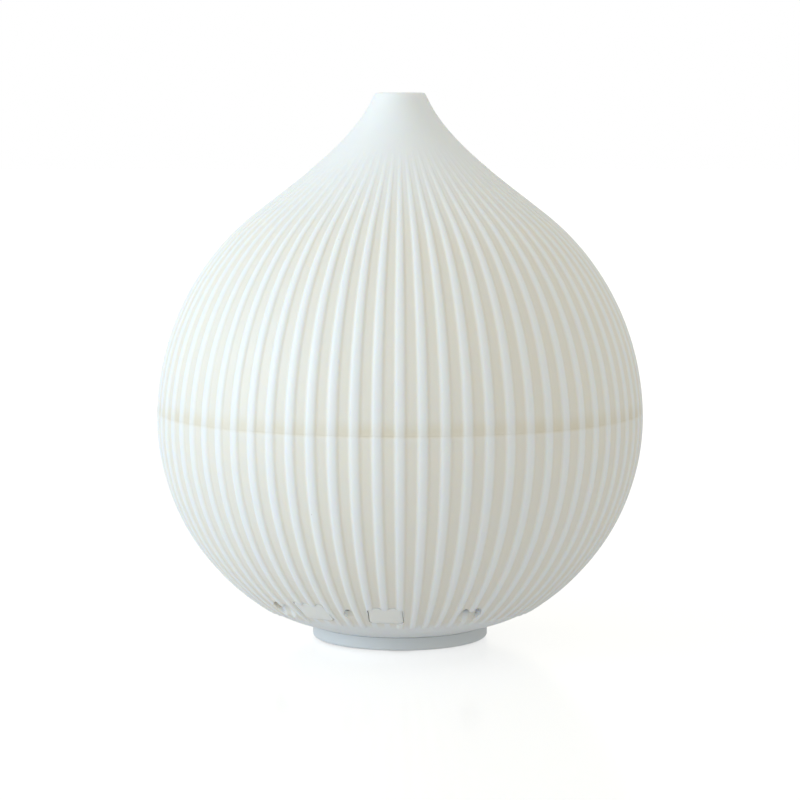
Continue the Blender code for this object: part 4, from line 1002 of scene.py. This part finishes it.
def water_tank():
    """The tank: a bowl with a flange, the disc's throat, the fan's duct and the screw pillars."""
    low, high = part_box("water_tank")
    seal_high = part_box("piezo_seal")[1]
    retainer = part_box("piezo_retainer")[1]
    gasket_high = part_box("tank_gasket")[1]
    wall, corner = TANK_WALL, TANK_CORNER
    flange_low, flange_high = gasket_high.z + FIT, gasket_high.z + 0.0023
    floor_low = seal_high.z + FIT
    floor_high = floor_low + 0.0025
    boss_low = retainer.z + FIT
    boss, seat, throat = retainer.x, seal_high.x + FIT, THROAT_RADIUS
    upstand = inner_radius(high.z) - SLIDE
    flange = inner_radius(flange_high) - SLIDE
    ledge_bottom = flange_low - 0.0038

    def outside(z):
        return inner_radius(z) - 0.0036

    neck = outside(flange_low)
    sides = np.linspace(floor_low + corner, ledge_bottom, 8)
    turn = outside(floor_low + corner)
    section = [(upstand, high.z, 0.0005), (upstand, flange_high, 0.0002), (flange, flange_high, 0.0004)]
    section += [(flange, flange_low, 0.0004), (neck, flange_low, 0.0004)]
    section += [(outside(z), z) for z in sides[::-1]]
    for angle in np.linspace(0, math.pi / 2, 9)[1:]:
        section.append((turn - corner * (1 - math.cos(angle)), floor_low + corner * (1 - math.sin(angle))))
    section += [(boss, floor_low, 0.0004), (boss, boss_low, 0.0004), (seat, boss_low, 0.0002)]
    section += [(seat, floor_low, 0), (throat, floor_low, 0), (throat, floor_high - 0.0014, 0.0005)]
    section += [(DISH_RADIUS, floor_high, 0.0010)]
    for angle in np.linspace(math.pi / 2, 0, 9)[:-1]:
        inner = corner - wall
        radius = turn - wall - inner * (1 - math.cos(angle))
        section.append((radius, floor_high + inner * (1 - math.sin(angle))))
    section += [(outside(z) - wall, z) for z in sides[1:]]
    section += [(neck - wall, flange_high, 0.0005), (upstand - 0.0022, flange_high, 0.0003)]
    section += [(upstand - 0.0022, high.z, 0.0005)]
    tank = put("water_tank_bowl", turned("water_tank_bowl", rounded(section, 0.0, 3)))

    fan = middle("fan_frame")
    duct_top = flange_high - 0.0040
    duct_low = floor_low + 0.001
    duct = [(DUCT_RADIUS, duct_low, 0), (DUCT_RADIUS, duct_top, 0.0006)]
    duct = rounded(duct + [(DUCT_BORE, duct_top, 0.0006), (DUCT_BORE, duct_low, 0)], 0, 3)
    boolean(tank, "UNION", turned("duct", duct, 72, (0, fan.y, 0)))
    pad_top = floor_low + 0.0011
    pad_size = (FAN_PAD, FAN_PAD, pad_top - boss_low)
    boolean(tank, "UNION", box_mesh(pad_size, (0, fan.y, (pad_top + boss_low) / 2)))
    pillars = []
    for n in range(1, 5):
        spot = middle(f"base_screw_{n}")
        pillars.append(rod(PILLAR_RADIUS, (spot.x, spot.y, low.z), (spot.x, spot.y, floor_low + 0.0009)))
    lamps = middle("led_board")
    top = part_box("led_board")[1].z + FIT
    for x in (-LAMP_POST_X, LAMP_POST_X):
        pillars.append(rod(LAMP_POST, (x, lamps.y, top), (x, lamps.y, floor_low + 0.0008)))
    boolean(tank, "UNION", joined("pillars", pillars))
    holes = [rod(DUCT_BORE, (0, fan.y, boss_low - 0.001), (0, fan.y, floor_low + 0.0030), 72)]
    for n in range(1, 5):
        for kind, radius in (("base_screw", SCREW_HOLE), ("fan_screw", SMALL_HOLE)):
            spot_low, spot_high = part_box(f"{kind}_{n}")
            spot = (spot_low + spot_high) / 2
            start = min(low.z, boss_low) - 0.001 if kind == "base_screw" else boss_low - 0.001
            holes.append(rod(radius, (spot.x, spot.y, start), (spot.x, spot.y, spot_high.z + FIT)))
    boolean(tank, "DIFFERENCE", joined("tank_holes", holes))
    return finished(tank, "base", MATERIALS["tank_white"], "tank_white", "water_tank")


def tank_gasket():
    low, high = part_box("tank_gasket")
    inner = inner_radius(low.z) - 0.0027
    section = rounded([(high.x, high.z), (high.x, low.z), (inner, low.z), (inner, high.z)], 0.0005, 4)
    seal = put("tank_seal_ring", turned("tank_seal_ring", section))
    return finished(seal, "base", MATERIALS["seal_silicone"], "seal_silicone", "tank_gasket")


def tank_cover():
    """The splash cover: a rim, a low dome and the mist chimney, in one flowing section."""
    low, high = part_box("tank_cover")
    wall, rim_thick = COVER_WALL, COVER_RIM
    tip, foot_radius = CHIMNEY_TIP, CHIMNEY_FOOT
    shoulder = inner_radius(LEDGE_Z) - 0.0056
    outside, inside = [], []
    for n in range(25):
        turn = math.pi / 2 * n / 24
        spread = (shoulder - foot_radius) * math.cos(turn)
        rise = DOME_RISE * math.sin(turn)
        outside.append((foot_radius + spread, low.z + rim_thick + rise))
        inside.append((foot_radius - wall + spread, low.z + rise))
    section = [(high.x, low.z, 0.0005), (high.x, low.z + rim_thick, 0.0006), (*outside[0], 0.0010)]
    section += outside[1:-1]
    section += [(*outside[-1], 0.0030), (tip, high.z, 0.0006)]
    section += [(tip - wall, high.z, 0.0006), (*inside[-1], 0.0020)]
    section += inside[-2:0:-1] + [(*inside[0], 0.0004)]
    dome = put("tank_cover_dome", turned("tank_cover_dome", rounded(section, 0.0, 5)))
    return finished(dome, "tank_cover", MATERIALS["tank_white"], "tank_white", "tank_cover")


# ---------------------------------------------------------------- nodes kept from the frame


def dress(frame_nodes):
    """A finished material for each node that is still shown. Its mesh stays as it is."""
    for thing in frame_nodes.values():
        if thing.hide_render:
            continue
        slot = thing.data.materials[0].name.split(".")[0]
        thing.data.materials.clear()
        thing.data.materials.append(MATERIALS[slot])


# ---------------------------------------------------------------- studio


def area_light(name, place, aim, size, power, colour):
    data = bpy.data.lights.new(name, "AREA")
    data.shape = "DISK"
    data.size = size
    data.energy = power
    data.color = colour
    lamp_object = put(name, data)
    lamp_object.location = place
    lamp_object.rotation_euler = (Vector(aim) - Vector(place)).to_track_quat("-Z", "Y").to_euler()


def studio():
    """A pale floor, a bright surround, a large cool light from the left and a weak one in front."""
    world = bpy.data.worlds.new("surround")
    bpy.context.scene.world = world
    world.use_nodes = True
    tree = world.node_tree
    background = tree.nodes["Background"]
    path = tree.nodes.new("ShaderNodeLightPath")
    mix = tree.nodes.new("ShaderNodeMix")
    mix.data_type = "RGBA"
    mix.inputs[6].default_value = rgb(0.69, 0.688, 0.640)
    mix.inputs[7].default_value = rgb(1.0, 1.0, 1.0)
    tree.links.new(path.outputs["Is Camera Ray"], mix.inputs[0])
    tree.links.new(mix.outputs[2], background.inputs["Color"])
    background.inputs["Strength"].default_value = 1.0

    area_light("window", (-1.50, -0.55, 0.55), AIM, 1.3, 15.4, (0.72, 0.86, 1.0))
    area_light("front_fill", (0.35, -1.9, 0.9), AIM, 1.0, 2.2, (0.95, 0.97, 1.0))

    nodes = Nodes("studio_floor")
    cloud = nodes.noise(3.0, 2.0)
    seen = nodes.add("ShaderNodeLightPath").outputs["Is Camera Ray"]
    nodes.set(
        Base_Color=nodes.mix(cloud, rgb(0.40, 0.40, 0.395), rgb(0.41, 0.41, 0.405)),
        Roughness=0.16,
        IOR=1.5,
        Emission_Color=rgb(1, 1, 1),
        Emission_Strength=nodes.remap(seen, 0, 1, FLOOR_GLOW, FLOOR_GLOW_SEEN),
    )
    bm = bmesh.new()
    bmesh.ops.create_circle(bm, cap_ends=True, segments=96, radius=FLOOR_RADIUS)
    mesh = bpy.data.meshes.new("floor")
    bm.to_mesh(mesh)
    bm.free()
    mesh.materials.append(nodes.material)
    floor = put("floor", mesh)


def camera():
    data = bpy.data.cameras.new("camera")
    data.sensor_width = 36.0
    data.lens = CAMERA_LENS
    thing = put("camera", data)
    thing.location = CAMERA_PLACE
    thing.rotation_euler = (math.radians(90) - CAMERA_DROP, 0, 0)
    data.clip_start, data.clip_end = 0.01, 100
    bpy.context.scene.camera = thing
    bpy.context.scene.view_settings.view_transform = "Standard"


camera()
top_cover()
lower_shell()
for name, turn in BUTTON_TURNS.items():
    button(name, turn)
foot()
for number in range(1, 5):
    rubber_foot(number)
for node in sorted(frame["nodes"]):
    if node.startswith(("base_screw", "board_screw", "fan_screw", "retainer_screw")):
        screw(node)
water_tank()
tank_gasket()
tank_cover()
dress(frame["nodes"])
studio()
